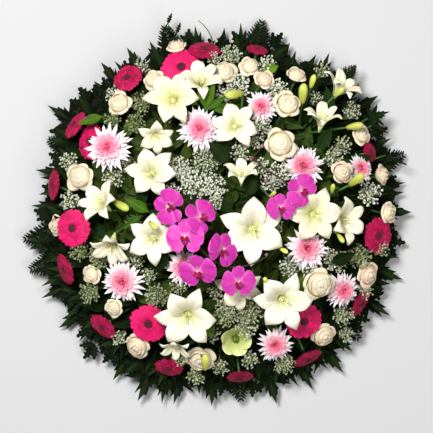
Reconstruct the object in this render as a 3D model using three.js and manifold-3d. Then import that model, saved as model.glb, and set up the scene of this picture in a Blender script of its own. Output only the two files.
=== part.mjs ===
// A closed, domed funeral wreath, lying on the flat back of its tray.
//
// A shallow round tray holds a dome of floral foam. Cut stems stand in holes in the foam: lilies, roses,
// gerberas, chrysanthemums and two orchid sprays. Leafy branches lie over the foam and reach past its edge
// as a ragged rim, and sprays of small white filler flowers stand between the blooms.
//
// Units are millimetres and +Z is up. The origin is the middle of the tray's underside.
import * as THREE from "three";
import { mergeVertices } from "three/addons/utils/BufferGeometryUtils.js";
import Module from "manifold-3d";

const wasm = await Module();
wasm.setup();

// Driving dimensions
const MM_PER_PX = 2.3;
const CENTRE_PX = { x: 218, y: 212 };
const TRAY = { radius: 306, flare: 4, wall: 3, height: 24 };
const GAP = 0.3;
const FOAM = { radius: 300, edge: 42, top: 92, steps: [1, 0.8, 0.55, 0.28] };
const ROUND_SEGMENTS = 24;

// The surface that the flowers' faces follow; share is the last part of its radius that a flower may take.
const DOME = { radius: 425, height: 172, power: 2.4, share: 0.985 };

// A cut stem: its radius and hole, how deep it stands in the foam, how far its foot is pulled towards the
// middle and the widest it may stand, and the height and spacing of a fork.
const STEM = { radius: 3.6, hole: 6, depth: 16, pull: 0.74, limit: 268, fork: 10, step: 0.7 };
const SPRAY = { stem: 2.6, stalk: 1.8, aside: new THREE.Vector3(0.3, 0.2, 0) };
const FLORET = { radius: 7, twig: 1.1, neck: 0.7, tip: 0.5 };
const TUFT = { twig: 2, overlap: 3, rise: 10, spread: 8, first: 0.06, next: 0.05 };
const RIM_TWIG = { radius: 322, height: 26, thick: 3.4, points: 5 };
const RIM_LEAF = { inset: 4, pitches: [-0.06, 0.08], droop: 6 };
const BRANCH = { root: 70, stations: [70, 200, 290], clearance: 7 };
const LEAF = { thickness: 1.2, fold: 0.08 };
const INNER_LEAF = {
  length: 64,
  halfWidth: 13,
  droop: 4,
  pitch: 0.42,
  clearance: 19,
  stations: [118, 176, 232, 284],
  spreads: [52, 34, 70, 88],
};

// How far a fused skin may move as its needless points go: less for the thin twigs of the filler.
const SIMPLIFY = 0.78;
const SIMPLIFY_FINE = 0.2;

// The seed of each filler spray, and the generator's own numbers.
const SEED = { first: 2011, step: 7 };
const GENERATOR = { factor: 16807, modulus: 2147483647 };

// A direction this close to vertical takes its sideways reference from X.
const STEEP = 0.8;

// Colours
const PAINT = {
  lily: [0xf6f2dc, 0.5],
  rose: [0xf1e7cf, 0.6],
  gerbera: [0xd81868, 0.5],
  chrysanthemum: [0xf7dfe8, 0.55],
  orchid: [0xc93cc0, 0.45],
  filler: [0xdfe2cc, 0.8],
  leaf: [0x17301a, 0.55],
  foam: [0x2f5a35, 0.9],
  tray: [0x1f3d26, 0.5],
};

// The flowers of each stem as [kind, x, y, radius, lift, faceX, faceY, spin]. x and y are photograph pixels,
// radius (half the length, for a bud) and lift above the dome are millimetres, face is added to the dome's
// outward direction, and spin is degrees.
const STEMS = {
  lily_1: [
    ["lily", 174, 102, 64, 28, 0, 0, 30],
    ["lily", 201, 83, 54, 12, 0.1, 0.35, 15],
  ],
  lily_2: [
    ["lily", 153, 174, 60, 24, 0, 0, 20],
    ["lily", 157, 138, 42, 6, 0.2, -0.5, 0],
    ["lily", 155, 238, 60, 24, 0, 0, 5],
    ["bud", 156, 225, 15, 46, 1.2, -0.9, 0],
  ],
  lily_3: [
    ["lily", 104, 203, 56, 18, -0.4, 0.5, 30],
    ["lily", 114, 245, 54, 12, 0, -0.9, 0],
    ["bud", 124, 206, 24, 22, 1.6, -0.8, 0],
  ],
  lily_4: [
    ["lily", 188, 313, 72, 28, 0, 0, 35],
    ["lily", 176, 344, 42, 4, 0, -0.9, 0],
  ],
  lily_5: [
    ["lily", 252, 229, 78, 30, 0, 0, 0],
    ["bud", 281, 249, 14, 34, 0.9, -0.5, 0],
  ],
  lily_6: [
    ["lily", 312, 214, 66, 24, 0, 0, 30],
    ["lily", 343, 219, 60, 10, 0.5, 0, 0],
    ["bud", 335, 237, 15, 34, 0.6, -1.2, 0],
    ["bud", 351, 181, 25, 26, 1, 1, 0],
    ["bud", 330, 189, 13, 14, 0, 1.4, 0],
  ],
  lily_7: [
    ["lily", 281, 298, 70, 26, 0, 0, 35],
    ["lily", 238, 287, 54, 2, 0, -0.2, 10],
    ["bud", 264, 278, 13, 38, -0.6, 1, 0],
  ],
  lily_8: [
    ["lily", 241, 175, 46, 16, 0, 1.1, 0],
    ["bud", 271, 195, 12, 24, 1, 0.8, 0],
    ["lily", 235, 127, 56, 18, 0, 0, 20],
    ["bud", 234, 98, 26, 22, -1.5, -0.5, 0],
  ],
  lily_9: [
    ["lily", 338, 90, 52, 10, 0.2, 0.5, 0],
    ["lily", 320, 121, 50, 12, 0, 1, 0],
    ["bud", 332, 99, 17, 36, 1.2, 1, 0],
    ["bud", 350, 129, 22, 20, 2, 0.1, 0],
    ["bud", 301, 97, 27, 16, -0.1, 1.4, 0],
    ["bud", 310, 85, 18, 16, 0.3, 1.6, 0],
  ],
  rose_1: [
    ["rose", 176, 43, 21, 0, 0, 0, 0],
    ["rose", 153, 79, 23, 0, 0, 0, 20],
  ],
  rose_2: [["rose", 119, 103, 26, 2, 0, 0, 0]],
  rose_3: [["rose", 80, 177, 31, 6, 0, 0, 0]],
  rose_4: [
    ["rose", 53, 226, 22, -10, 0, 0, 15],
    ["rose", 91, 275, 20, 0, 0, 0, 0],
    ["rose", 114, 308, 19, 4, 0, 0, 30],
  ],
  rose_5: [
    ["rose", 136, 348, 28, 0, 0, 0, 0],
    ["rose", 200, 361, 31, 0, 0, 0, 10],
    ["bud", 206, 355, 24, 34, 0.1, 1.6, 0],
  ],
  rose_6: [
    ["rose", 224, 70, 28, -8, 0, 0, 0],
    ["rose", 250, 65, 22, -2, 0, 0, 12],
    ["rose", 264, 80, 21, 4, 0, 0, 40],
  ],
  rose_7: [
    ["rose", 297, 73, 22, 0, 0, 0.5, 0],
    ["rose", 287, 105, 28, 12, 0, 0, 0],
    ["rose", 279, 145, 32, 16, 0, 0, 25],
  ],
  rose_8: [["rose", 341, 173, 24, 10, 0, 0, 0]],
  rose_9: [["rose", 362, 134, 23, 4, 0, 0, 30]],
  rose_10: [
    ["rose", 384, 175, 23, 4, 0.8, 0, 0],
    ["rose", 391, 213, 23, 0, 0, 0, 0],
  ],
  rose_11: [["rose", 369, 275, 27, 4, 0, 0, 20]],
  rose_12: [
    ["rose", 318, 283, 34, 14, 0, 0, 0],
    ["rose", 325, 337, 27, 0, 0, 0, 15],
  ],
  rose_13: [["rose", 236, 342, 34, 2, 0, 0, 0]],
  gerbera_1: [
    ["gerbera", 181, 66, 48, -10, 0, 0, 0],
    ["gerbera", 204, 47, 38, -10, 0.1, 0.5, 0],
  ],
  gerbera_2: [["gerbera", 127, 77, 36, -4, 0, 0, 0]],
  gerbera_3: [
    ["gerbera", 72, 123, 36, -10, -0.5, 0.4, 0],
    ["gerbera", 88, 140, 42, -18, -0.5, 0, 0],
  ],
  gerbera_4: [
    ["gerbera", 50, 184, 36, -10, -0.9, 0, 0],
    ["gerbera", 74, 228, 44, 2, 0, 0, 0],
  ],
  gerbera_5: [["gerbera", 64, 270, 38, -4, -0.8, -0.3, 0]],
  gerbera_6: [
    ["gerbera", 101, 328, 36, -8, -0.3, -0.4, 0],
    ["gerbera", 149, 323, 46, -2, 0, 0, 0],
  ],
  gerbera_7: [["gerbera", 168, 370, 34, -8, 0, -0.4, 0]],
  gerbera_8: [["gerbera", 258, 46, 26, -10, 0.1, 0.6, 0]],
  gerbera_9: [
    ["gerbera", 304, 321, 44, -4, 0, 0, 0],
    ["gerbera", 309, 361, 36, -6, 0.2, -0.5, 0],
  ],
  gerbera_10: [["gerbera", 240, 379, 32, -6, 0, -0.8, 0]],
  gerbera_11: [["gerbera", 364, 305, 36, -10, 0.5, -0.3, 0]],
  gerbera_12: [["gerbera", 380, 236, 42, -8, 0, 0, 0]],
  gerbera_13: [["gerbera", 374, 150, 24, -14, 0.3, 0, 0]],
  chrysanthemum_1: [["chrysanthemum", 111, 149, 58, 10, 0, 0, 0]],
  chrysanthemum_2: [["chrysanthemum", 200, 130, 56, 0, 0, 0, 0]],
  chrysanthemum_3: [["chrysanthemum", 261, 107, 42, -10, 0, 0, 0]],
  chrysanthemum_4: [["chrysanthemum", 303, 166, 52, -12, 0, 0, 0]],
  chrysanthemum_5: [["chrysanthemum", 124, 281, 54, 0, 0, 0, 0]],
  chrysanthemum_6: [
    ["chrysanthemum", 306, 248, 54, -4, 0, 0, 0],
    ["chrysanthemum", 344, 291, 46, -14, 0, 0, 0],
  ],
  chrysanthemum_7: [["chrysanthemum", 275, 344, 46, -4, 0, 0, 0]],
  chrysanthemum_8: [["chrysanthemum", 363, 168, 36, -16, 0, 0, 0]],
  chrysanthemum_9: [["chrysanthemum", 184, 267, 46, -6, 0, 0, 0]],
};

// Orchid sprays: the arching stem, then flowers as in the stems above, and buds on short stalks.
const SPRAYS = {
  orchid_1: {
    root: [196, 212],
    stem: [
      [196, 212, 10],
      [188, 222, 46],
      [196, 238, 52],
      [208, 254, 52],
      [226, 264, 50],
      [246, 263, 48],
      [264, 255, 46],
    ],
    flowers: [
      ["orchid", 172, 207, 42, 60, -0.5, 0, 80],
      ["orchid", 201, 217, 42, 62, 0.2, 0.1, 60],
      ["orchid", 187, 236, 44, 66, -0.1, 0, 0],
      ["orchid", 222, 248, 42, 66, 0.7, 0, -30],
      ["orchid", 199, 268, 44, 62, -0.1, -0.3, 10],
      ["orchid", 237, 278, 40, 60, 0.1, -0.1, 0],
    ],
    buds: [[264, 253, 6, 48]],
  },
  orchid_2: {
    root: [276, 196],
    stem: [
      [276, 196, 10],
      [288, 196, 34],
      [280, 182, 44],
      [264, 172, 44],
      [252, 160, 42],
    ],
    flowers: [
      ["orchid", 297, 192, 40, 50, 0.4, 0, 60],
      ["orchid", 278, 208, 34, 46, -0.1, -0.2, 0],
    ],
    buds: [
      [250, 161, 8, 44],
      [260, 149, 6, 40],
      [264, 182, 6, 44],
    ],
  },
};

// Filler sprays: the root, then each tuft of florets as [x, y, reach, lift, florets].
const FILLER_SPRAYS = {
  filler_1: { root: [206, 160], tufts: [[206, 160, 24, -10, 5], [186, 176, 18, -12, 4]] },
  filler_2: { root: [142, 118], tufts: [[140, 101, 18, -20, 4], [134, 122, 14, -20, 3]] },
  filler_3: { root: [132, 246], tufts: [[98, 254, 14, -18, 4]] },
  filler_4: { root: [216, 308], tufts: [[226, 316, 18, -16, 5], [212, 336, 12, -18, 3]] },
  filler_5: { root: [318, 258], tufts: [[338, 262, 14, -18, 4]] },
  filler_6: { root: [260, 132], tufts: [[275, 89, 10, -14, 4]] },
};

// Leafy branches. Each has the bearing of its main stem and the leaves it carries on the rim as
// [bearing, reach, shape], with reach the tip's distance from the wreath's middle in photograph pixels.
const BRANCHES = {
  foliage_1: {
    bearing: 24,
    rim: [
      [0, 193, "lobed"],
      [9, 190, "lobed"],
      [17, 197, "fern"],
      [26, 190, "lobed"],
      [36, 198, "lobed"],
      [47, 200, "fern"],
    ],
  },
  foliage_2: {
    bearing: 84,
    rim: [
      [58, 186, "lobed"],
      [67, 184, "lobed"],
      [77, 199, "fern"],
      [88, 184, "lobed"],
      [97, 188, "lobed"],
      [106, 196, "fern"],
    ],
  },
  foliage_3: {
    bearing: 142,
    rim: [
      [119, 188, "lobed"],
      [128, 190, "lobed"],
      [138, 187, "lobed"],
      [148, 201, "lobed"],
      [157, 187, "fern"],
      [167, 187, "lobed"],
    ],
  },
  foliage_4: {
    bearing: 212,
    rim: [
      [178, 187, "lobed"],
      [188, 198, "fern"],
      [197, 199, "fern"],
      [206, 196, "lobed"],
      [216, 197, "lobed"],
      [227, 199, "lobed"],
    ],
  },
  foliage_5: {
    bearing: 262,
    rim: [
      [238, 198, "lobed"],
      [247, 205, "lobed"],
      [257, 197, "lobed"],
      [268, 194, "lobed"],
      [277, 192, "fern"],
      [287, 200, "lobed"],
    ],
  },
  foliage_6: {
    bearing: 324,
    rim: [
      [298, 201, "lobed"],
      [308, 203, "lobed"],
      [318, 192, "fern"],
      [329, 201, "lobed"],
      [340, 197, "lobed"],
      [350, 190, "lobed"],
    ],
  },
};

// Half outlines of the rim leaves as [along, across], as shares of the leaf's length.
const LEAF_OUTLINES = {
  lobed: [[0, 0.03], [0.12, 0.22], [0.26, 0.13], [0.48, 0.32], [0.6, 0.14], [0.76, 0.16]],
  fern: [[0, 0.03], [0.1, 0.22], [0.2, 0.09], [0.34, 0.22], [0.44, 0.08], [0.6, 0.16], [0.7, 0.06]],
};

const radians = (degrees) => (degrees * Math.PI) / 180;

// Solids

function solidOf(geometry) {
  const bare = new THREE.BufferGeometry();
  bare.setAttribute("position", geometry.getAttribute("position"));
  bare.setIndex(geometry.index);
  const merged = mergeVertices(bare, 1e-4);
  const triVerts = new Uint32Array(merged.index.array);
  const vertProperties = new Float32Array(merged.attributes.position.array);
  const solid = new wasm.Manifold(new wasm.Mesh({ numProp: 3, vertProperties, triVerts }));
  if (solid.volume() > 0) return solid;
  for (let i = 0; i < triVerts.length; i += 3) {
    [triVerts[i + 1], triVerts[i + 2]] = [triVerts[i + 2], triVerts[i + 1]];
  }
  return new wasm.Manifold(new wasm.Mesh({ numProp: 3, vertProperties, triVerts }));
}

function fuse(solids, tolerance = SIMPLIFY) {
  return solids.reduce((whole, solid) => whole.add(solid)).asOriginal().simplify(tolerance);
}

function geometryOf(solid) {
  const mesh = solid.getMesh();
  const geometry = new THREE.BufferGeometry();
  geometry.setAttribute("position", new THREE.BufferAttribute(mesh.vertProperties, 3));
  geometry.setIndex(new THREE.BufferAttribute(mesh.triVerts, 1));
  geometry.computeVertexNormals();
  return geometry;
}

// A closed skin through rings of points. A ring of one point closes an end; a wider end ring gets a flat cap.
function loft(rings) {
  const positions = rings.flat().flatMap((p) => [p.x, p.y, p.z]);
  const starts = [];
  let count = 0;
  for (const ring of rings) {
    starts.push(count);
    count += ring.length;
  }
  const faces = [];
  const cap = (start, size, turn) => {
    for (let i = 1; i < size - 1; i++) {
      faces.push(start, start + (turn ? i + 1 : i), start + (turn ? i : i + 1));
    }
  };
  for (let r = 0; r < rings.length - 1; r++) {
    const [a, b] = [starts[r], starts[r + 1]];
    const [m, n] = [rings[r].length, rings[r + 1].length];
    const size = Math.max(m, n);
    for (let i = 0; i < size; i++) {
      const j = (i + 1) % size;
      if (m > 1) faces.push(a + i, a + j, n > 1 ? b + j : b);
      if (n > 1) faces.push(m > 1 ? a + i : a, b + j, b + i);
    }
  }
  cap(starts[0], rings[0].length, true);
  cap(starts.at(-1), rings.at(-1).length, false);
  const geometry = new THREE.BufferGeometry();
  geometry.setAttribute("position", new THREE.Float32BufferAttribute(positions, 3));
  geometry.setIndex(faces);
  return geometry;
}

// A ring of points round the Z axis: radii and heights repeat in turn, the first of them at angle start.
function star(count, radii, heights, start = 0) {
  return Array.from({ length: count }, (_, i) => {
    const angle = start + (i / count) * 2 * Math.PI;
    const radius = radii[i % radii.length];
    return new THREE.Vector3(radius * Math.cos(angle), radius * Math.sin(angle), heights[i % heights.length]);
  });
}

const point = (z) => [new THREE.Vector3(0, 0, z)];

// A rod through the points, with a section of three sides.
function rod(points, radius) {
  const rings = points.map((p, i) => {
    const before = points[Math.max(i - 1, 0)];
    const after = points[Math.min(i + 1, points.length - 1)];
    const along = after.clone().sub(before).normalize();
    const steep = Math.abs(along.z) > STEEP;
    const reference = steep ? new THREE.Vector3(1, 0, 0) : new THREE.Vector3(0, 0, 1);
    const side = new THREE.Vector3().crossVectors(along, reference).normalize();
    const lift = new THREE.Vector3().crossVectors(side, along).normalize();
    return [-90, 30, 150].map((degrees) => {
      const across = radius * Math.cos(radians(degrees));
      const up = -radius * Math.sin(radians(degrees));
      return p.clone().addScaledVector(side, across).addScaledVector(lift, up);
    });
  });
  return loft(rings);
}

// A thin leaf cut from a flat outline and arched: the tip drops and the edges rise.
function leafPlate(outline, length, droop) {
  const right = outline.map(([u, v]) => new THREE.Vector2(u * length, -v * length));
  const left = outline.map(([u, v]) => new THREE.Vector2(u * length, v * length)).reverse();
  const contour = [...right, new THREE.Vector2(length, 0), ...left];
  const faces = THREE.ShapeUtils.triangulateShape(contour, []);
  const n = contour.length;
  const heightAt = (p) => LEAF.fold * Math.abs(p.y) - droop * (p.x / length) ** 2;
  const positions = [];
  for (const half of [LEAF.thickness / 2, -LEAF.thickness / 2]) {
    for (const p of contour) positions.push(p.x, p.y, heightAt(p) + half);
  }
  const index = [];
  for (const [a, b, c] of faces) index.push(a, b, c, n + a, n + c, n + b);
  for (let i = 0; i < n; i++) {
    const j = (i + 1) % n;
    index.push(j, i, n + i, j, n + i, n + j);
  }
  const geometry = new THREE.BufferGeometry();
  geometry.setAttribute("position", new THREE.Float32BufferAttribute(positions, 3));
  geometry.setIndex(index);
  return geometry;
}

// A plain pointed leaf blade with a keel, along +X. Stations are [share of the length, share of the width].
function bladeLeaf(length, width, thick, droop) {
  const stations = [[0, 0.2], [0.3, 1], [0.66, 0.8]];
  const rings = stations.map(([u, w]) => {
    const z = -droop * u * u;
    return [
      new THREE.Vector3(u * length, w * width, z + thick),
      new THREE.Vector3(u * length, 0, z - thick),
      new THREE.Vector3(u * length, -w * width, z + thick),
    ];
  });
  return loft([...rings, [new THREE.Vector3(length, 0, -droop)]]);
}

// The edge of an orchid flower, as shares of its radius at twenty bearings from +X.
const ORCHID_OUTLINE = [
  [0.9, 0.98, 0.62, 0.36, 0.78],
  [0.9, 0.78, 0.36, 0.62, 0.98],
  [0.9, 0.4, 0.8, 0.86, 0.5],
  [0.3, 0.5, 0.86, 0.8, 0.4],
].flat();

// Flowers of radius R, each facing +Z about its own origin. Every form is in shares of R, and the stem ends
// at `back`.

const HEADS = {
  // Six tepals in two whorls round a trumpet: one whorl is wider and lies lower than the other.
  lily: (R) => ({
    back: -0.7 * R,
    skin: loft([
      point(-0.8 * R),
      star(24, [0.22 * R, 0.3 * R, 0.32 * R, 0.3 * R], [-0.36 * R, -0.32 * R, -0.3 * R, -0.32 * R]),
      star(
        24,
        [0.36 * R, 0.66 * R, R, 0.66 * R, 0.36 * R, 0.64 * R, 0.94 * R, 0.64 * R],
        [-0.1 * R, 0.1 * R, 0, 0.1 * R, -0.1 * R, 0.18 * R, 0.12 * R, 0.18 * R],
      ),
      point(-0.36 * R),
    ]),
  }),
  // A goblet of overlapping petals: a wide outer lip, then a smaller inner one, and a tight middle.
  rose: (R) => ({
    back: -1.2 * R,
    skin: loft([
      point(-1.3 * R),
      star(8, [0.56 * R, 0.66 * R], [-0.72 * R, -0.68 * R]),
      star(8, [0.88 * R, R], [0.05 * R, -0.08 * R]),
      star(8, [0.6 * R], [-0.2 * R]),
      star(8, [0.66 * R, 0.54 * R], [0.2 * R, 0.3 * R]),
      point(0.02 * R),
    ]),
  }),
  // A flat disc of ray petals with a shorter layer on top and a raised eye.
  gerbera: (R) => ({
    back: -0.1 * R,
    skin: loft([
      point(-0.2 * R),
      star(24, [R, 0.76 * R], [0, -0.02 * R]),
      star(24, [0.5 * R, 0.64 * R], [0.09 * R, 0.13 * R]),
      point(0.15 * R),
    ]),
  }),
  // Long narrow petals in two layers round an upright tuft.
  chrysanthemum: (R) => ({
    back: -0.22 * R,
    skin: loft([
      point(-0.32 * R),
      star(22, [R, 0.5 * R], [-0.06 * R, -0.02 * R]),
      star(22, [0.36 * R, 0.3 * R], [0.02 * R, 0.04 * R]),
      star(22, [0.42 * R, 0.74 * R], [0.14 * R, 0.2 * R]),
      point(0.34 * R),
    ]),
  }),
  // Two broad petals, three sepals behind them and a small lip.
  orchid: (R) => ({
    back: -0.08 * R,
    skin: loft([
      point(-0.16 * R),
      star(20, ORCHID_OUTLINE.map((share) => share * R), [0.04 * R]),
      star(20, [0.24 * R, 0.14 * R], [0.2 * R, 0.16 * R]),
      point(0.1 * R),
    ]),
  }),
  // A closed lily bud, along +Z.
  bud: (R) => ({
    back: -0.85 * R,
    skin: loft([
      point(-R),
      star(6, [0.28 * R], [-0.5 * R]),
      star(6, [0.36 * R], [0.3 * R], Math.PI / 6),
      point(R),
    ]),
  }),
};

// Places

const fromPixels = (x, y) => [(x - CENTRE_PX.x) * MM_PER_PX, (CENTRE_PX.y - y) * MM_PER_PX];

function foamTop(radius) {
  const share = Math.min(radius / FOAM.radius, 1);
  return FOAM.edge + (FOAM.top - FOAM.edge) * (1 - share * share);
}

// The point of the flowers' dome over a pixel, raised by lift, and the dome's outward direction there.
function onDome(x, y, lift = 0) {
  const [X, Y] = fromPixels(x, y);
  const radius = Math.hypot(X, Y);
  const share = Math.min(radius / DOME.radius, DOME.share);
  const rest = 1 - share ** DOME.power;
  const height = DOME.height * rest ** (1 / DOME.power);
  const slope = (DOME.height / DOME.radius) * share ** (DOME.power - 1) * rest ** (1 / DOME.power - 1);
  const out = new THREE.Vector3(X, Y, 0).normalize().multiplyScalar(slope);
  const normal = new THREE.Vector3(out.x, out.y, 1).normalize();
  const at = new THREE.Vector3(X, Y, height).addScaledVector(normal, lift);
  return { at, normal };
}

// The turn and place of a flower as a matrix, from its row in the tables.
function flowerMatrix([, x, y, , lift, faceX, faceY, spin]) {
  const { at, normal } = onDome(x, y, lift);
  const facing = normal.add(new THREE.Vector3(faceX, faceY, 0)).normalize();
  const turn = new THREE.Quaternion().setFromUnitVectors(new THREE.Vector3(0, 0, 1), facing);
  turn.multiply(new THREE.Quaternion().setFromAxisAngle(new THREE.Vector3(0, 0, 1), radians(spin)));
  return new THREE.Matrix4().compose(at, turn, new THREE.Vector3(1, 1, 1));
}

// The place in the foam that a stem under this point goes to.
function rootUnder(at, depth = STEM.depth) {
  const radius = Math.hypot(at.x, at.y);
  const scale = Math.min(STEM.pull, STEM.limit / radius);
  return new THREE.Vector3(at.x * scale, at.y * scale, foamTop(radius * scale) - depth);
}

const wreath = new THREE.Group();
const holes = [];
const stalks = [];

function addMesh(name, solid, paint, at = new THREE.Vector3()) {
  const [color, roughness] = PAINT[paint];
  const material = new THREE.MeshStandardMaterial({ color, roughness, metalness: 0 });
  const mesh = new THREE.Mesh(geometryOf(solid.translate([-at.x, -at.y, -at.z])), material);
  mesh.name = name;
  mesh.position.copy(at);
  wreath.add(mesh);
}

// A stalk through the points, kept in the list that the leaves stay clear of.
function stalk(points, radius = STEM.radius) {
  for (let i = 0; i + 1 < points.length; i++) stalks.push(new THREE.Line3(points[i], points[i + 1]));
  return solidOf(rod(points, radius));
}

// A stalk whose last stretch stands in the foam, and the slightly wider hole for it.
function rootedStalk(points) {
  const [from, root] = points.slice(-2);
  const along = root.clone().sub(from).normalize();
  holes.push(solidOf(rod([from, root.clone().addScaledVector(along, GAP)], STEM.hole)));
  return stalk(points);
}

// Cut stems with their flowers
function stemSolids(flowers) {
  const solids = [];
  const backs = [];
  for (const row of flowers) {
    const matrix = flowerMatrix(row);
    const head = HEADS[row[0]](row[3]);
    solids.push(solidOf(head.skin.applyMatrix4(matrix)));
    backs.push(new THREE.Vector3(0, 0, head.back).applyMatrix4(matrix));
  }
  if (backs.length === 1) {
    const root = rootUnder(backs[0]);
    return { solids: [...solids, rootedStalk([backs[0], root])], root };
  }
  const middle = backs.reduce((sum, p) => sum.add(p), new THREE.Vector3()).divideScalar(backs.length);
  const fork = rootUnder(middle, -STEM.fork);
  const root = new THREE.Vector3(fork.x, fork.y, fork.z - STEM.fork - STEM.depth);
  const [first, ...others] = backs;
  solids.push(rootedStalk([first, fork, root]));
  others.forEach((back, i) => {
    solids.push(stalk([back, fork.clone().setZ(fork.z - STEM.step * i)]));
  });
  return { solids, root };
}

for (const [name, flowers] of Object.entries(STEMS)) {
  const { solids, root } = stemSolids(flowers);
  addMesh(name, fuse(solids), name.split("_")[0], root);
}

// Orchid sprays
for (const [name, spray] of Object.entries(SPRAYS)) {
  const path = spray.stem.map(([x, y, lift]) => onDome(x, y, lift).at);
  const [rootX, rootY] = fromPixels(...spray.root);
  const root = new THREE.Vector3(rootX, rootY, foamTop(Math.hypot(rootX, rootY)) - STEM.depth);
  const solids = [rootedStalk([path[0], root]), stalk(path, SPRAY.stem)];
  const nearest = (p) => path.slice(1).reduce((a, b) => (a.distanceTo(p) < b.distanceTo(p) ? a : b));
  for (const row of spray.flowers) {
    const matrix = flowerMatrix(row);
    const head = HEADS.orchid(row[3]);
    const back = new THREE.Vector3(0, 0, head.back).applyMatrix4(matrix);
    solids.push(solidOf(head.skin.applyMatrix4(matrix)));
    solids.push(solidOf(rod([back, nearest(back)], SPRAY.stalk)));
  }
  for (const [x, y, radius, lift] of spray.buds) {
    const { at } = onDome(x, y, lift);
    solids.push(solidOf(new THREE.OctahedronGeometry(radius).translate(at.x, at.y, at.z)));
    solids.push(solidOf(rod([at, nearest(at).clone().add(SPRAY.aside)], SPRAY.stalk)));
  }
  addMesh(name, fuse(solids), "orchid", root);
}

// A repeatable random number from 0 to 1.
function randomFrom(seed) {
  let state = seed;
  return () => {
    state = (state * GENERATOR.factor) % GENERATOR.modulus;
    return state / GENERATOR.modulus;
  };
}

// A floret on its own fine twig: one skin that widens into the flower and closes in a point.
function floret(from, to) {
  const along = to.clone().sub(from).normalize();
  const side = new THREE.Vector3(-along.y, along.x, 0).normalize();
  const lift = new THREE.Vector3().crossVectors(along, side);
  const ring = (centre, size) =>
    [0, 120, 240].map((degrees) => {
      const across = size * Math.cos(radians(degrees));
      const up = size * Math.sin(radians(degrees));
      return centre.clone().addScaledVector(side, across).addScaledVector(lift, up);
    });
  const neck = to.clone().addScaledVector(along, -FLORET.neck * FLORET.radius);
  const tip = to.clone().addScaledVector(along, FLORET.tip * FLORET.radius);
  return loft([ring(from, FLORET.twig), ring(neck, FLORET.twig), ring(to, FLORET.radius), [tip]]);
}

// Filler sprays: a main twig to each tuft, with florets on fine twigs all round its upper end
Object.entries(FILLER_SPRAYS).forEach(([name, spray], k) => {
  const random = randomFrom(SEED.first + SEED.step * k);
  const [x, y] = fromPixels(...spray.root);
  const top = foamTop(Math.hypot(x, y));
  const fork = new THREE.Vector3(x, y, top + STEM.fork);
  const root = new THREE.Vector3(x, y, top - STEM.depth);
  const solids = [rootedStalk([fork.clone().setZ(fork.z + TUFT.overlap), root])];
  for (const [tuftX, tuftY, reach, lift, florets] of spray.tufts) {
    const crown = onDome(tuftX, tuftY, lift).at;
    solids.push(stalk([crown, fork], TUFT.twig));
    for (let i = 0; i < florets; i++) {
      const angle = (i / florets) * 2 * Math.PI + random();
      const rise = TUFT.rise + TUFT.spread * random();
      const out = new THREE.Vector3(reach * Math.cos(angle), reach * Math.sin(angle), rise);
      const start = crown.clone().lerp(fork, TUFT.first + TUFT.next * i);
      solids.push(solidOf(floret(start, crown.clone().add(out))));
    }
  }
  addMesh(name, fuse(solids, SIMPLIFY_FINE), "filler", root);
});

// A point at a bearing and a distance from the wreath's middle.
function polar(bearing, radius, z) {
  const angle = radians(bearing);
  return new THREE.Vector3(radius * Math.cos(angle), radius * Math.sin(angle), z);
}

// The turn and place of a leaf at a point, pointing along a bearing and raised by a pitch, as a matrix.
function leafMatrix(at, bearing, pitch) {
  return new THREE.Matrix4()
    .makeTranslation(at.x, at.y, at.z)
    .multiply(new THREE.Matrix4().makeRotationZ(radians(bearing)))
    .multiply(new THREE.Matrix4().makeRotationY(-pitch));
}

// Whether a leaf at a matrix stays clear of every stalk.
function isClear(matrix) {
  const spot = new THREE.Vector3();
  const near = new THREE.Vector3();
  for (const share of [0.15, 0.35, 0.55, 0.75, 1]) {
    spot.set(share * INNER_LEAF.length, 0, 0).applyMatrix4(matrix);
    for (const line of stalks) {
      line.closestPointToPoint(spot, true, near);
      if (near.distanceTo(spot) < INNER_LEAF.clearance) return false;
    }
  }
  return true;
}

// The main stem of a branch over the foam, and the twig along the rim that its last leaves stand on.
function branchTwigs(bearing, rim) {
  const above = (radius) => polar(bearing, radius, foamTop(radius) + BRANCH.clearance);
  const root = polar(bearing, BRANCH.root, foamTop(BRANCH.root) - STEM.depth);
  const bend = polar(bearing, RIM_TWIG.radius, RIM_TWIG.height);
  const main = rod([...BRANCH.stations.map(above), bend], RIM_TWIG.thick);
  const first = rim[0][0];
  const turn = (rim.at(-1)[0] - first) / (RIM_TWIG.points - 1);
  const arc = Array.from({ length: RIM_TWIG.points }, (_, i) =>
    polar(first + turn * i, RIM_TWIG.radius, RIM_TWIG.height),
  );
  const solids = [rootedStalk([above(BRANCH.root), root]), solidOf(main), solidOf(rod(arc, RIM_TWIG.thick))];
  return { solids, root, above };
}

// Leafy branches
for (const [name, { bearing, rim }] of Object.entries(BRANCHES)) {
  const { solids, root, above } = branchTwigs(bearing, rim);
  rim.forEach(([at, reach, shape], i) => {
    const base = RIM_TWIG.radius - RIM_LEAF.inset;
    const leaf = leafPlate(LEAF_OUTLINES[shape], reach * MM_PER_PX - base, RIM_LEAF.droop);
    const matrix = leafMatrix(polar(at, base, RIM_TWIG.height), at, RIM_LEAF.pitches[i % 2]);
    solids.push(solidOf(leaf.applyMatrix4(matrix)));
  });
  for (const radius of INNER_LEAF.stations) {
    for (const side of [1, -1]) {
      const matrices = INNER_LEAF.spreads.map((spread) =>
        leafMatrix(above(radius), bearing + side * spread, INNER_LEAF.pitch),
      );
      const matrix = matrices.find(isClear);
      if (matrix === undefined) continue;
      const leaf = bladeLeaf(INNER_LEAF.length, INNER_LEAF.halfWidth, LEAF.thickness, INNER_LEAF.droop);
      solids.push(solidOf(leaf.applyMatrix4(matrix)));
    }
  }
  addMesh(name, fuse(solids), "leaf", root);
}

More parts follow.
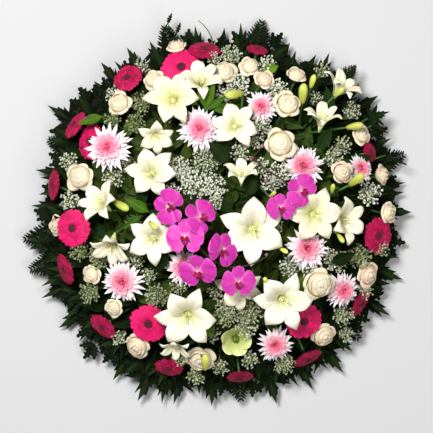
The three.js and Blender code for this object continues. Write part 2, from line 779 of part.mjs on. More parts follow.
// Foam dome with a hole for each stem
const foamProfile = [new THREE.Vector2(0, TRAY.wall + GAP)];
foamProfile.push(new THREE.Vector2(FOAM.radius, TRAY.wall + GAP));
for (const share of FOAM.steps) {
  foamProfile.push(new THREE.Vector2(FOAM.radius * share, foamTop(FOAM.radius * share)));
}
foamProfile.push(new THREE.Vector2(0, foamTop(0)));
const foamBlock = solidOf(new THREE.LatheGeometry(foamProfile, ROUND_SEGMENTS).rotateX(Math.PI / 2));
const foam = holes.reduce((rest, hole) => rest.subtract(hole), foamBlock);
addMesh("foam", foam, "foam");

// Tray
const trayProfile = [
  [0, 0],
  [TRAY.radius, 0],
  [TRAY.radius + TRAY.flare, TRAY.height],
  [TRAY.radius + TRAY.flare - TRAY.wall, TRAY.height],
  [TRAY.radius - TRAY.wall, TRAY.wall],
  [0, TRAY.wall],
].map(([x, y]) => new THREE.Vector2(x, y));
const tray = solidOf(new THREE.LatheGeometry(trayProfile, ROUND_SEGMENTS).rotateX(Math.PI / 2));
addMesh("tray", tray, "tray");

export default wreath;
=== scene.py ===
import math

import bpy
import numpy as np
from mathutils import Matrix


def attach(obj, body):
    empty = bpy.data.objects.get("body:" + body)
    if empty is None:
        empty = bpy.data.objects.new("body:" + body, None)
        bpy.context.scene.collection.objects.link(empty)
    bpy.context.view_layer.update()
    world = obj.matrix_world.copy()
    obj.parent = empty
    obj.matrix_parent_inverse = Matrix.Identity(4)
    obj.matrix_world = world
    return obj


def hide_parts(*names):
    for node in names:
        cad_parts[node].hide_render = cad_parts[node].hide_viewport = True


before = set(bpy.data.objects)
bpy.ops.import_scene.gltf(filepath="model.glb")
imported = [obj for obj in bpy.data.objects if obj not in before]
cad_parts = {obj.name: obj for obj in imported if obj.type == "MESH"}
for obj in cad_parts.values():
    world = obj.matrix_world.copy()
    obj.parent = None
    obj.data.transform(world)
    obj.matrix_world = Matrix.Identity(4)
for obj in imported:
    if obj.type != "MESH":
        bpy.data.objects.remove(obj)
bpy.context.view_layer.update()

MM = 0.001
MM_PER_PX = 2.3
CENTRE_X, CENTRE_Y = 218, 212
FOAM_RADIUS, FOAM_EDGE, FOAM_TOP = 300, 42, 92
DOME_RADIUS, DOME_HEIGHT, DOME_POWER, DOME_LIMIT = 425, 172, 2.4, 0.985
STEM_DEPTH, STEM_PULL, STEM_LIMIT = 16, 0.74, 268
STEM_RADIUS, FORK_RADIUS, FORK_HEIGHT = 3.2, 2.6, 10
ORCHID_STEM, ORCHID_SIDE_STEM, ORCHID_BUD_STEM = (2.4, 1.3), 1.2, 1.1
BRANCH_TIP, LEAF_STEM, SPRIG_STEM, SPRIG_FALL = 2.2, 1.6, (1.5, 0.8), 12
RIM_LEAF_STEM, TUFT_STEM, FLORET_STEM = [1.6, 1.4, 1.2, 1.1], (1.6, 0.7), [0.5, 0.4, 0.35]
RIM_RADIUS, RIM_HEIGHT = 322, 26
SHARP_ANGLE = math.radians(75)
GOLDEN_TURN, GOLDEN_SHARE = 137.508, 0.618
LEAF_TURN = 137.5
BLOOM_SEED, ORCHID_SEED, FILLER_SEED, RIM_SEED, GAP_SEED = 100, 200, 300, 400, 500

# The cut stems of each kind. A stem is a list of its flowers as (x, y, radius, lift, faceX, faceY, spin,
# tone), and the kind where it is another. x and y are photograph pixels, radius (half the length, for a bud)
# and lift above the dome are millimetres, face is added to the dome's outward direction, spin is degrees,
# and tone goes from the palest to the deepest of its kind.
STEMS = {
    "lily": [
        [(174, 102, 64, 28, 0, 0, 30, 0.7), (201, 83, 54, 12, 0.1, 0.35, 15, 0.5)],
        [
            (153, 174, 60, 24, 0, 0, 20, 0.3), (157, 138, 42, 6, 0.2, -0.5, 0, 0.4),
            (155, 238, 60, 24, 0, 0, 5, 0.2), (156, 225, 15, 46, 1.2, -0.9, 0, 0.5, "bud"),
        ],
        [
            (104, 203, 56, 18, -0.4, 0.5, 30, 0.3), (114, 245, 54, 12, 0, -0.9, 0, 0.4),
            (124, 206, 24, 22, 1.6, -0.8, 0, 0.9, "bud"),
        ],
        [(188, 313, 72, 28, 0, 0, 35, 0.3), (176, 344, 42, 4, 0, -0.9, 0, 0.4)],
        [(252, 229, 78, 30, 0, 0, 0, 0.1), (281, 249, 14, 34, 0.9, -0.5, 0, 0.1, "bud")],
        [
            (312, 214, 66, 24, 0, 0, 30, 0.7), (343, 219, 60, 10, 0.5, 0, 0, 0.4),
            (335, 237, 15, 34, 0.6, -1.2, 0, 0.8, "bud"), (351, 181, 25, 26, 1, 1, 0, 1.0, "bud"),
            (330, 189, 13, 14, 0, 1.4, 0, 0.7, "bud"),
        ],
        [
            (281, 298, 70, 26, 0, 0, 35, 0.2), (238, 287, 54, 2, 0, -0.2, 10, 0.5),
            (264, 278, 13, 38, -0.6, 1, 0, 0.2, "bud"),
        ],
        [
            (241, 175, 46, 16, 0, 1.1, 0, 0.5), (271, 195, 12, 24, 1, 0.8, 0, 0.4, "bud"),
            (235, 127, 56, 18, 0, 0, 20, 0.4), (234, 98, 26, 22, -1.5, -0.5, 0, 0.8, "bud"),
        ],
        [
            (338, 90, 52, 10, 0.2, 0.5, 0, 0.5), (320, 121, 50, 12, 0, 1, 0, 0.6),
            (332, 99, 17, 36, 1.2, 1, 0, 0.8, "bud"), (350, 129, 22, 20, 2, 0.1, 0, 0.7, "bud"),
            (301, 97, 27, 16, -0.1, 1.4, 0, 0.9, "bud"), (310, 85, 18, 16, 0.3, 1.6, 0, 0.8, "bud"),
        ],
    ],
    "rose": [
        [(176, 43, 21, 0, 0, 0, 0, 0.3), (153, 79, 23, 0, 0, 0, 20, 0.2)],
        [(119, 103, 26, 2, 0, 0, 0, 0.3)],
        [(80, 177, 31, 6, 0, 0, 0, 0.2)],
        [
            (53, 226, 22, -10, 0, 0, 15, 0.3), (91, 275, 20, 0, 0, 0, 0, 0.4),
            (114, 308, 19, 4, 0, 0, 30, 0.3),
        ],
        [
            (136, 348, 28, 0, 0, 0, 0, 0.5), (200, 361, 31, 0, 0, 0, 10, 0.2),
            (206, 355, 24, 34, 0.1, 1.6, 0, 0.7, "bud"),
        ],
        [
            (224, 70, 28, -8, 0, 0, 0, 0.2), (250, 65, 22, -2, 0, 0, 12, 0.3),
            (264, 80, 21, 4, 0, 0, 40, 0.4),
        ],
        [
            (297, 73, 22, 0, 0, 0.5, 0, 0.3), (287, 105, 28, 12, 0, 0, 0, 0.2),
            (279, 145, 32, 16, 0, 0, 25, 0.1),
        ],
        [(341, 173, 24, 10, 0, 0, 0, 0.5)],
        [(362, 134, 23, 4, 0, 0, 30, 0.3)],
        [(384, 175, 23, 4, 0.8, 0, 0, 0.7), (391, 213, 23, 0, 0, 0, 0, 0.3)],
        [(369, 275, 27, 4, 0, 0, 20, 1.0)],
        [(318, 283, 34, 14, 0, 0, 0, 0.2), (325, 337, 27, 0, 0, 0, 15, 0.4)],
        [(236, 342, 34, 2, 0, 0, 0, 0.2, "lisianthus")],
    ],
    "gerbera": [
        [(181, 66, 48, -10, 0, 0, 0, 0.1), (204, 47, 38, -10, 0.1, 0.5, 0, 0.9)],
        [(127, 77, 36, -4, 0, 0, 0, 0.8)],
        [(72, 123, 36, -10, -0.5, 0.4, 0, 0.7), (88, 140, 42, -18, -0.5, 0, 0, 0.2)],
        [(50, 184, 36, -10, -0.9, 0, 0, 0.8), (74, 228, 44, 2, 0, 0, 0, 0.15)],
        [(64, 270, 38, -4, -0.8, -0.3, 0, 0.8)],
        [(101, 328, 36, -8, -0.3, -0.4, 0, 0.6), (149, 323, 46, -2, 0, 0, 0, 0.1)],
        [(168, 370, 34, -8, 0, -0.4, 0, 0.7)],
        [(258, 46, 26, -10, 0.1, 0.6, 0, 1.0)],
        [(304, 321, 44, -4, 0, 0, 0, 0.3), (309, 361, 36, -6, 0.2, -0.5, 0, 0.8)],
        [(240, 379, 32, -6, 0, -0.8, 0, 0.9)],
        [(364, 305, 36, -10, 0.5, -0.3, 0, 0.8)],
        [(380, 236, 42, -8, 0, 0, 0, 0.6)],
        [(374, 150, 24, -14, 0.3, 0, 0, 1.0)],
    ],
    "chrysanthemum": [
        [(111, 149, 58, 10, 0, 0, 0, 0.3)],
        [(200, 130, 56, 0, 0, 0, 0, 0.4)],
        [(261, 107, 42, -10, 0, 0, 0, 0.4)],
        [(303, 166, 52, -12, 0, 0, 0, 0.4)],
        [(124, 281, 54, 0, 0, 0, 0, 0.4)],
        [(306, 248, 54, -4, 0, 0, 0, 0.4), (344, 291, 46, -14, 0, 0, 0, 0.5)],
        [(275, 344, 46, -4, 0, 0, 0, 0.5)],
        [(363, 168, 36, -16, 0, 0, 0, 0.4)],
        [(184, 267, 46, -6, 0, 0, 0, 0.5)],
    ],
}

# Orchid sprays: the arching stem as (x, y, lift), the flowers as above, and the buds as (x, y, radius, lift).
SPRAYS = [
    {
        "stem": [
            (196, 212, 10), (188, 222, 46), (196, 238, 52), (208, 254, 52), (226, 264, 50), (246, 263, 48),
            (264, 255, 46),
        ],
        "flowers": [
            (172, 207, 42, 60, -0.5, 0, 80, 0.5), (201, 217, 42, 62, 0.2, 0.1, 60, 0.6),
            (187, 236, 44, 66, -0.1, 0, 0, 0.3), (222, 248, 42, 66, 0.7, 0, -30, 0.6),
            (199, 268, 44, 62, -0.1, -0.3, 10, 0.4), (237, 278, 40, 60, 0.1, -0.1, 0, 0.5),
        ],
        "buds": [(264, 253, 6, 48)],
    },
    {
        "stem": [(276, 196, 10), (288, 196, 34), (280, 182, 44), (264, 172, 44), (252, 160, 42)],
        "flowers": [(297, 192, 40, 50, 0.4, 0, 60, 0.4), (278, 208, 34, 46, -0.1, -0.2, 0, 0.6)],
        "buds": [(250, 161, 8, 44), (260, 149, 6, 40), (264, 182, 6, 44)],
    },
]

# Filler sprays: the root, then each tuft as (x, y, reach, lift, tone); tone goes from white to olive.
# More tufts stand in the gaps between the blooms, each on its own stem.
FILLER_SPRAYS = [
    ((206, 160), [(206, 160, 34, -10, 0.5), (186, 176, 24, -12, 0.2)]),
    ((142, 118), [(140, 101, 26, -20, 0.9), (134, 122, 24, -20, 1.0)]),
    ((132, 246), [(98, 254, 26, -18, 0.8)]),
    ((216, 308), [(226, 316, 28, -16, 0.8), (212, 336, 20, -18, 0.6)]),
    ((318, 258), [(338, 262, 28, -18, 0.4)]),
    ((260, 132), [(275, 89, 20, -14, 0.2)]),
]
MORE_TUFTS = [
    (112, 92, 22, -16, 0.3), (65, 160, 22, -14, 0.35), (67, 200, 24, -14, 0.25), (112, 177, 26, -18, 0.5),
    (195, 184, 34, -10, 0.1), (180, 167, 26, -14, 0.3), (165, 140, 16, -20, 0.6), (168, 112, 20, -20, 0.5),
    (140, 62, 18, -14, 0.6), (231, 51, 26, -14, 0.5), (214, 56, 18, -14, 0.5), (238, 84, 30, -16, 0.1),
    (224, 92, 24, -18, 0.2), (268, 62, 22, -12, 0.3), (280, 86, 22, -14, 0.3), (262, 126, 24, -14, 0.3),
    (254, 140, 22, -18, 0.4), (280, 174, 30, -10, 0.1), (270, 184, 22, -10, 0.2), (345, 144, 22, -14, 0.6),
    (334, 157, 24, -14, 0.5), (372, 193, 28, -10, 0.1), (356, 108, 22, -12, 0.5), (318, 96, 16, -14, 0.5),
    (214, 186, 30, -12, 0.15), (218, 200, 22, -14, 0.3), (172, 190, 18, -14, 0.3), (250, 312, 32, -10, 0.7),
    (228, 306, 28, -14, 0.7), (290, 266, 26, -12, 0.3), (312, 268, 26, -14, 0.3), (148, 276, 20, -16, 0.6),
    (156, 296, 28, -14, 0.7), (77, 252, 24, -14, 0.9), (96, 262, 22, -16, 0.8), (87, 294, 26, -12, 0.8),
    (195, 380, 22, -10, 0.7), (180, 360, 20, -12, 0.7), (362, 258, 30, -10, 0.8), (384, 250, 20, -10, 0.7),
    (246, 328, 28, -14, 0.5), (346, 318, 24, -10, 0.6), (368, 292, 20, -10, 0.6), (285, 366, 26, -8, 0.7),
    (250, 362, 22, -10, 0.6), (350, 338, 20, -8, 0.6), (220, 370, 20, -10, 0.5), (110, 118, 20, -16, 0.9),
    (325, 66, 18, -8, 0.6), (118, 340, 18, -8, 0.5), (127, 164, 22, -14, 0.6), (240, 152, 24, -14, 0.4),
    (262, 168, 22, -12, 0.3), (134, 222, 20, -14, 0.8), (276, 226, 16, -8, 0.4), (216, 292, 20, -14, 0.7),
    (178, 288, 20, -14, 0.7), (330, 256, 20, -12, 0.5), (136, 262, 18, -14, 0.6),
]
# A tuft's florets are this many for each square millimetre of its reach squared.
FLORETS_PER_AREA = 0.13
FLORET_LEAST, FLORET_MOST = 1.4, 3.8
TUFT_TURN, TUFT_RISE, TUFT_FALL = 2.4, 16, 12

# Leafy branches: the bearing of the main stem, then the leaves on the rim as (bearing, reach), and "fern"
# where it is a frond. Reach is the tip's distance from the wreath's middle in photograph pixels.
BRANCHES = [
    (24, [(0, 193), (9, 190), (17, 197, "fern"), (26, 190), (36, 198), (47, 200, "fern")]),
    (84, [(58, 186), (67, 184), (77, 199, "fern"), (88, 184), (97, 188), (106, 196, "fern")]),
    (142, [(119, 188), (128, 190), (138, 187), (148, 201), (157, 187, "fern"), (167, 187)]),
    (212, [(178, 187), (188, 198, "fern"), (197, 199, "fern"), (206, 196), (216, 197), (227, 199)]),
    (262, [(238, 198), (247, 205), (257, 197), (268, 194), (277, 192, "fern"), (287, 200)]),
    (324, [(298, 201), (308, 203), (318, 192, "fern"), (329, 201), (340, 197), (350, 190)]),
]
BRANCH_STATIONS, BRANCH_LIFT = (70, 135, 200, 245, 290), 7
# The leaves round each place on the rim as (bearing, turn, length, share of the reach, lift, form).
RIM_CLUSTER = [
    (0, 0, 98, 1.0, 0, "own"), (4.4, 14, 92, 0.965, 4, "lobed"), (-3.8, -16, 86, 0.95, 8, "ragged"),
    (2.2, 32, 74, 0.93, 13, "spiny"), (-2.4, -28, 94, 0.93, 15, "lobed"), (4.8, 4, 90, 0.9, 20, "lobed"),
    (-0.6, -8, 84, 0.86, 28, "lobed"),
]
FROND_LENGTH, FOOT_INSET = 124, 12

# Leaves that show among the blooms as (x, y, lift, bearing, length, half width, look, tone).
PLACED_LEAVES = [
    (205, 112, 6, 70, 74, 10, "fresh_leaf", 0.5), (206, 112, 8, 35, 62, 9, "fresh_leaf", 0.2),
    (204, 108, 4, 100, 60, 9, "fresh_leaf", 0.7), (214, 112, 8, 10, 58, 12, "fresh_leaf", 0.4),
    (198, 106, 4, 150, 40, 8, "fresh_leaf", 0.8), (104, 118, 8, 195, 60, 12, "fresh_leaf", 0.4),
    (150, 212, 8, 150, 62, 13, "fresh_leaf", 0.3), (142, 216, 6, 215, 52, 11, "fresh_leaf", 0.1),
    (146, 204, 6, 110, 52, 13, "leaf", 0.8), (330, 112, 2, 100, 60, 14, "leaf", 0.9),
    (318, 150, 2, 60, 60, 15, "leaf", 1.0), (228, 164, 4, 130, 66, 18, "leaf", 0.8),
    (232, 150, 4, 170, 64, 18, "leaf", 0.5), (246, 196, 8, 60, 48, 14, "leaf", 0.8),
    (228, 218, 12, 100, 50, 14, "leaf", 0.7), (330, 262, 4, 20, 60, 16, "leaf", 0.4),
    (292, 288, -6, 30, 50, 14, "fresh_leaf", 0.9), (252, 268, 10, 75, 44, 12, "leaf", 0.9),
    (214, 334, 4, 150, 56, 13, "fresh_leaf", 0.8), (200, 334, 4, 200, 56, 13, "leaf", 0.8),
    (168, 252, 8, 240, 60, 14, "leaf", 0.6), (278, 66, 0, 200, 48, 12, "fresh_leaf", 0.9),
]

# Slender sprigs that reach past the flowers, as (x, y) of the foot and of the tip, height, and form.
SPRIGS = [
    (185, 48, 167, 23, 70, "leafy"), (212, 38, 198, 19, 66, "bare"), (343, 90, 357, 63, 74, "frond"),
    (386, 155, 409, 165, 70, "slim"), (368, 118, 391, 111, 70, "lobed"), (374, 124, 390, 133, 66, "slim"),
    (44, 246, 25, 236, 34, "lobed"),
]

# Leafy twigs from the foam, and lower under the open bowl of one flower. Where they fill the middle their
# leaves
# are lighter: partly a lighter green of their own, partly painted light that lifts the shade deep among the
# blooms.
TWIGS, TWIG_REACH, TWIG_SPREAD, TWIG_FOOT = 96, 292, 1.28, -8
TWIG_LEAVES, TWIG_LEAF = 7, 60
CROWN_LIFT, CROWN_CLEAR = -44, 22
INNER_RADIUS = 245
BOWL_X, BOWL_Y, BOWL_CLEAR, BOWL_DROP = 236, 342, 90, 34
# Side leaves round the foam's edge.
SIDE_LEAVES, SIDE_FOOT, SIDE_RISE = 84, 30, 34
SIDE_LENGTHS, SIDE_WIDTH = (72, 104), 0.22


# Shapes of a piece, gathered as points and faces


class Shape:
    def __init__(self, name):
        self.name = name
        self.points, self.faces, self.uvs, self.tones, self.slots = [], [], [], [], []
        self.total = 0
        self.looks = []

    def add(self, points, faces, uv, tone, look):
        if look not in self.looks:
            self.looks.append(look)
        self.points.append(points)
        self.uvs.append(uv)
        self.tones.append(np.full(len(points), tone))
        self.faces.extend([tuple(i + self.total for i in face) for face in faces])
        self.slots.extend([self.looks.index(look)] * len(faces))
        self.total += len(points)

    def piece(self, slot, *nodes):
        mesh = bpy.data.meshes.new(self.name)
        mesh.from_pydata((np.vstack(self.points) * MM).tolist(), [], self.faces)
        for look in self.looks:
            mesh.materials.append(LOOKS[look])
        mesh.polygons.foreach_set("material_index", self.slots)
        mesh.polygons.foreach_set("use_smooth", [True] * len(self.faces))
        corners = np.empty(len(mesh.loops), np.int32)
        mesh.loops.foreach_get("vertex_index", corners)
        layer = mesh.uv_layers.new(name="petal")
        layer.data.foreach_set("uv", np.vstack(self.uvs)[corners].ravel())
        tone = mesh.attributes.new("tone", "FLOAT", "POINT")
        tone.data.foreach_set("value", np.concatenate(self.tones))
        mesh.update()
        mesh.set_sharp_from_angle(angle=SHARP_ANGLE)
        thing = bpy.data.objects.new(self.name, mesh)
        bpy.context.scene.collection.objects.link(thing)
        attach(thing, "root")
        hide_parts(*nodes)


def smooth(u, values):
    """A smooth curve through evenly spaced values, read at u from 0 to 1."""
    values = np.asarray(values, float)
    last = len(values) - 1
    spot = np.clip(u, 0, 1) * last
    i = np.minimum(spot.astype(int), last - 1)
    t = spot - i
    a, b = values[np.maximum(i - 1, 0)], values[i]
    c, d = values[i + 1], values[np.minimum(i + 2, last)]
    return 0.5 * (2 * b + (c - a) * t + (2 * a - 5 * b + 4 * c - d) * t**2 + (3 * b - a - 3 * c + d) * t**3)


def unit(vector):
    return vector / np.linalg.norm(vector)


def moved(matrix, points):
    return points @ matrix[:3, :3].T + matrix[:3, 3]


def placed(point):
    """An upright matrix at a point."""
    matrix = np.eye(4)
    matrix[:3, 3] = point
    return matrix


def above(matrix, height):
    """The point at a height on a matrix's own Z."""
    return moved(matrix, np.array([[0, 0, height]]))[0]


def turned(matrix, bearing=0.0, at=(0, 0, 0), pitch=0.0, roll=0.0):
    """The matrix turned by a bearing about Z, then moved, pitched upwards and rolled; angles are degrees."""
    b, p, r = (math.radians(angle) for angle in (bearing, pitch, roll))
    spin = np.array([[math.cos(b), -math.sin(b), 0], [math.sin(b), math.cos(b), 0], [0, 0, 1]])
    tip = np.array([[math.cos(p), 0, -math.sin(p)], [0, 1, 0], [math.sin(p), 0, math.cos(p)]])
    rock = np.array([[1, 0, 0], [0, math.cos(r), -math.sin(r)], [0, math.sin(r), math.cos(r)]])
    local = placed(spin @ np.asarray(at, float))
    local[:3, :3] = spin @ tip @ rock
    return matrix @ local


def facing_matrix(at, facing, spin=0.0):
    """A matrix at a point with its Z along facing, then turned by spin degrees about it."""
    x, y, z = facing
    cross = np.array([[0, 0, x], [0, 0, y], [-x, -y, 0]])
    matrix = placed(at)
    matrix[:3, :3] = np.eye(3) + cross + cross @ cross / (1 + z)
    return turned(matrix, spin)


GRIDS = {}


def grid(rows, columns):
    """The u and v of a blade's grid, the points of its inside, and the faces of its front and back."""
    if (rows, columns) not in GRIDS:
        u, v = np.meshgrid(np.linspace(0, 1, rows + 1), np.linspace(-1, 1, columns + 1), indexing="ij")
        front = np.arange((rows + 1) * (columns + 1)).reshape(rows + 1, columns + 1)
        back = front.copy()
        inside = front[1:-1, 1:-1]
        back[1:-1, 1:-1] = front.size + np.arange(inside.size).reshape(inside.shape)
        faces = []
        for i in range(rows):
            for j in range(columns):
                faces.append((front[i, j], front[i + 1, j], front[i + 1, j + 1], front[i, j + 1]))
                faces.append((back[i, j], back[i, j + 1], back[i + 1, j + 1], back[i + 1, j]))
        GRIDS[rows, columns] = (u.ravel(), v.ravel(), inside.ravel(), faces)
    return GRIDS[rows, columns]


def blade(shape, matrix, size, surface, look, tone, thick=0.7):
    """A thin closed petal or leaf: surface turns u along it and v across it into x, y and z."""
    rows, columns = size
    u, v, inside, faces = grid(rows, columns)
    points = np.stack(surface(u, v), axis=-1)
    sheet = points.reshape(rows + 1, columns + 1, 3)
    normal = np.cross(np.gradient(sheet, axis=0), np.gradient(sheet, axis=1)).reshape(-1, 3)
    normal /= np.maximum(np.linalg.norm(normal, axis=1, keepdims=True), 1e-9)
    points = np.vstack([points, points[inside] - normal[inside] * thick])
    uv = np.stack([u, (v + 1) / 2], axis=-1)
    shape.add(moved(matrix, points), faces, np.vstack([uv, uv[inside]]), tone, look)


def tube_faces(rings, sides):
    """The faces of a closed tube: rings of points with one point before and one after them."""
    top = 1 + rings * sides
    faces = []
    for i in range(sides):
        j = (i + 1) % sides
        faces.append((0, 1 + j, 1 + i))
        faces.append((top, top - sides + i, top - sides + j))
        for a in range(1, top - sides, sides):
            faces.append((a + i, a + j, a + sides + j, a + sides + i))
    return faces


def tube_uv(shares, sides):
    """The u and v of a tube's points, with each ring at its share of the length."""
    rings = [[share, i / sides] for share in shares for i in range(sides)]
    return np.array([[0, 0.5], *rings, [1, 0.5]], float)


def lathe(shape, matrix, size, profile, look, tone, sides=12, ribs=0, rib_depth=0.0):
    """A closed form round Z through (radius, height) rows, as shares of size, from axis to axis."""
    angles = np.arange(sides) / sides * 2 * np.pi
    swell = 1 - rib_depth * (1 + np.cos(ribs * angles)) / 2
    points = []
    for share, rise in profile:
        radius, height = share * size, rise * size
        ring = [radius * swell * np.cos(angles), radius * swell * np.sin(angles), np.full(sides, height)]
        points.append(np.stack(ring, axis=-1))
    # The first and the last row are one point each.
    points[0], points[-1] = points[0][:1], points[-1][:1]
    rings = len(profile) - 2
    uv = tube_uv(np.arange(1, rings + 1) / (rings + 1), sides)
    shape.add(moved(matrix, np.vstack(points)), tube_faces(rings, sides), uv, tone, look)


def rod(shape, path, radii, look, tone, sides=6):
    """A closed round stem through the points."""
    path = np.asarray(path, float)
    radii = np.broadcast_to(np.asarray(radii, float), len(path))
    along = np.gradient(path, axis=0)
    along /= np.maximum(np.linalg.norm(along, axis=1, keepdims=True), 1e-9)
    reference = np.array([1.0, 0, 0]) if abs(along[0][2]) > 0.8 else np.array([0, 0, 1.0])
    angles = np.arange(sides) / sides * 2 * np.pi
    rings = []
    for centre, direction, radius in zip(path, along, radii):
        side = unit(np.cross(direction, reference))
        reference = np.cross(side, direction)
        rings.append(centre + radius * (np.outer(np.cos(angles), side) - np.outer(np.sin(angles), reference)))
    first, last = along[0] * radii[0] * 0.5, along[-1] * radii[-1] * 0.5
    points = np.vstack([path[0] - first, *rings, path[-1] + last])
    uv = tube_uv(np.linspace(0, 1, len(path)), sides)
    shape.add(points, tube_faces(len(path), sides), uv, tone, look)


def stalk(shape, path, radii, tone):
    rod(shape, path, radii, "stem", tone, sides=8)


def bent(start, end, sag, count=6):
    """Points from start to end along a curve that bows by sag in Z."""
    t = np.linspace(0, 1, count)[:, None]
    path = np.asarray(start) * (1 - t) + np.asarray(end) * t
    path[:, 2] += (sag * 4 * t * (1 - t))[:, 0]
    return path


# Places on the wreath


def from_pixels(x, y):
    return (x - CENTRE_X) * MM_PER_PX, (CENTRE_Y - y) * MM_PER_PX


def foam_top(radius):
    share = min(radius / FOAM_RADIUS, 1)
    return FOAM_EDGE + (FOAM_TOP - FOAM_EDGE) * (1 - share**2)


def over_foam(x, y, height):
    """The point at a height above the top of the foam."""
    return np.array([x, y, foam_top(math.hypot(x, y)) + height])


def on_dome(x, y, lift=0.0):
    """The point of the flowers' dome over a pixel, raised by lift, and the dome's outward direction."""
    X, Y = from_pixels(x, y)
    radius = max(math.hypot(X, Y), 1e-6)
    share = min(radius / DOME_RADIUS, DOME_LIMIT)
    rest = 1 - share**DOME_POWER
    height = DOME_HEIGHT * rest ** (1 / DOME_POWER)
    slope = (DOME_HEIGHT / DOME_RADIUS) * share ** (DOME_POWER - 1) * rest ** (1 / DOME_POWER - 1)
    normal = unit(np.array([X / radius * slope, Y / radius * slope, 1.0]))
    return np.array([X, Y, height]) + normal * lift, normal


def flower_matrix(x, y, lift, face_x, face_y, spin):
    """Where a flower stands and faces, over a pixel."""
    at, normal = on_dome(x, y, lift)
    return facing_matrix(at, unit(normal + np.array([face_x, face_y, 0])), spin)


def root_under(at, depth=STEM_DEPTH):
    """The foot of the stem of a flower or leaf at a point, at a depth in the foam."""
    radius = math.hypot(at[0], at[1])
    scale = min(STEM_PULL, STEM_LIMIT / radius)
    return np.array([at[0] * scale, at[1] * scale, foam_top(radius * scale) - depth])


def polar(bearing, radius, z):
    angle = math.radians(bearing)
    return np.array([radius * math.cos(angle), radius * math.sin(angle), z])


# Finishes

LOOKS = {}
BUMP_DEPTH = 0.001
PETAL_SHIFT = 37.0


def linear(code):
    channels = [(code >> shift & 255) / 255 for shift in (16, 8, 0)]
    return (*[c / 12.92 if c <= 0.04045 else ((c + 0.055) / 1.055) ** 2.4 for c in channels], 1.0)


class Look:
    """A material with a few ways of making its node tree."""

    def __init__(self, name, roughness, glow, specular):
        self.name = name
        self.material = bpy.data.materials.new(name)
        self.material.use_nodes = True
        self.tree = self.material.node_tree
        self.shader = self.tree.nodes["Principled BSDF"]
        self.output = self.tree.nodes["Material Output"]
        self.shader.inputs["Roughness"].default_value = roughness
        self.shader.inputs["Specular IOR Level"].default_value = specular
        self.glow = glow
        self.uv = self.node("ShaderNodeUVMap", uv_map="petal").outputs[0]
        self.u, v = self.node("ShaderNodeSeparateXYZ", (0, self.uv)).outputs[:2]
        centred = self.math("SUBTRACT", v, 0.5)
        self.across = self.math("MULTIPLY", self.math("ABSOLUTE", centred, 0), 2)
        self.tone = self.node("ShaderNodeAttribute", attribute_name="tone").outputs["Fac"]

    def feed(self, socket, value):
        """Give an input a value, or link it to another node's output."""
        if isinstance(value, bpy.types.NodeSocket):
            self.tree.links.new(value, socket)
        else:
            socket.default_value = value

    def node(self, kind, *feeds, **settings):
        """A new node with its settings, and its inputs fed as (input, value or output) pairs."""
        made = self.tree.nodes.new(kind)
        for key, value in settings.items():
            setattr(made, key, value)
        for key, value in feeds:
            self.feed(made.inputs[key], value)
        return made

    def math(self, operation, a, b, clamp=False):
        return self.node("ShaderNodeMath", (0, a), (1, b), operation=operation, use_clamp=clamp).outputs[0]

    def ramp(self, value, stops):
        made = self.node("ShaderNodeValToRGB", (0, value))
        elements = made.color_ramp.elements
        while len(elements) < len(stops):
            elements.new(0.5)
        for element, (place, code) in zip(elements, stops):
            element.position = place
            element.color = linear(code)
        return made.outputs[0]

    def mix(self, share, a, b, blend="MIX"):
        made = self.node("ShaderNodeMix", (0, share), data_type="RGBA", blend_type=blend)
        self.feed(made.inputs[6], a)
        self.feed(made.inputs[7], b)
        return made.outputs[2]

    def noise(self, scale, detail=2.0, stretch=None):
        """Noise over the object, or, where it is stretched, over each petal on its own."""
        if stretch:
            shift = self.node("ShaderNodeCombineXYZ", (2, self.math("MULTIPLY", self.tone, PETAL_SHIFT)))
            feeds = (0, self.uv), (1, shift.outputs[0]), ("Scale", stretch)
            place = self.node("ShaderNodeMapping", *feeds).outputs[0]
        else:
            place = self.node("ShaderNodeTexCoord").outputs["Object"]
        feeds = ("Vector", place), ("Scale", scale), ("Detail", detail)
        return self.node("ShaderNodeTexNoise", *feeds).outputs[0]

    def bump(self, height, strength):
        feeds = ("Height", height), ("Strength", strength), ("Distance", BUMP_DEPTH)
        self.feed(self.shader.inputs["Normal"], self.node("ShaderNodeBump", *feeds).outputs[0])

    def finish(self, colour):
        """Put the colour on the surface, and let a share of the light through."""
        self.feed(self.shader.inputs["Base Color"], colour)
        if self.glow:
            through = self.node("ShaderNodeBsdfTranslucent", (0, colour)).outputs[0]
            feeds = (0, self.glow), (1, self.shader.outputs[0]), (2, through)
            self.feed(self.output.inputs[0], self.node("ShaderNodeMixShader", *feeds).outputs[0])
        LOOKS[self.name] = self.material


def petal_look(
    name, pale, deep, streak, share, streaks=14, edge=None, edge_share=0.0, rib=None, roughness=0.5, glow=0.22
):
    """A petal: two runs of colour mixed by tone, with streaks along it, a tinted edge and a midrib."""
    look = Look(name, roughness, glow, 0.3)
    colour = look.mix(look.tone, look.ramp(look.u, pale), look.ramp(look.u, deep))
    lines = look.noise(1.0, 3.0, (1.2, streaks, 1.0))
    marks = look.math("MULTIPLY", look.math("SUBTRACT", lines, 0.5), 4.0, clamp=True)
    colour = look.mix(look.math("MULTIPLY", marks, share), colour, linear(streak))
    if edge is not None:
        rim = look.math("MULTIPLY", look.math("POWER", look.across, 4.0), edge_share)
        colour = look.mix(rim, colour, linear(edge))
    if rib is not None:
        middle = look.math("SUBTRACT", 1.0, look.math("MULTIPLY", look.across, 6.0), clamp=True)
        fading = look.math("SUBTRACT", 1.0, look.math("MULTIPLY", look.u, 1.15), clamp=True)
        colour = look.mix(look.math("MULTIPLY", middle, fading), colour, linear(rib))
    cloud = look.ramp(look.noise(22.0), [(0.3, 0xDADADA), (0.7, 0xFFFFFF)])
    colour = look.mix(0.5, colour, cloud, "MULTIPLY")
    look.bump(lines, 0.6)
    look.finish(colour)


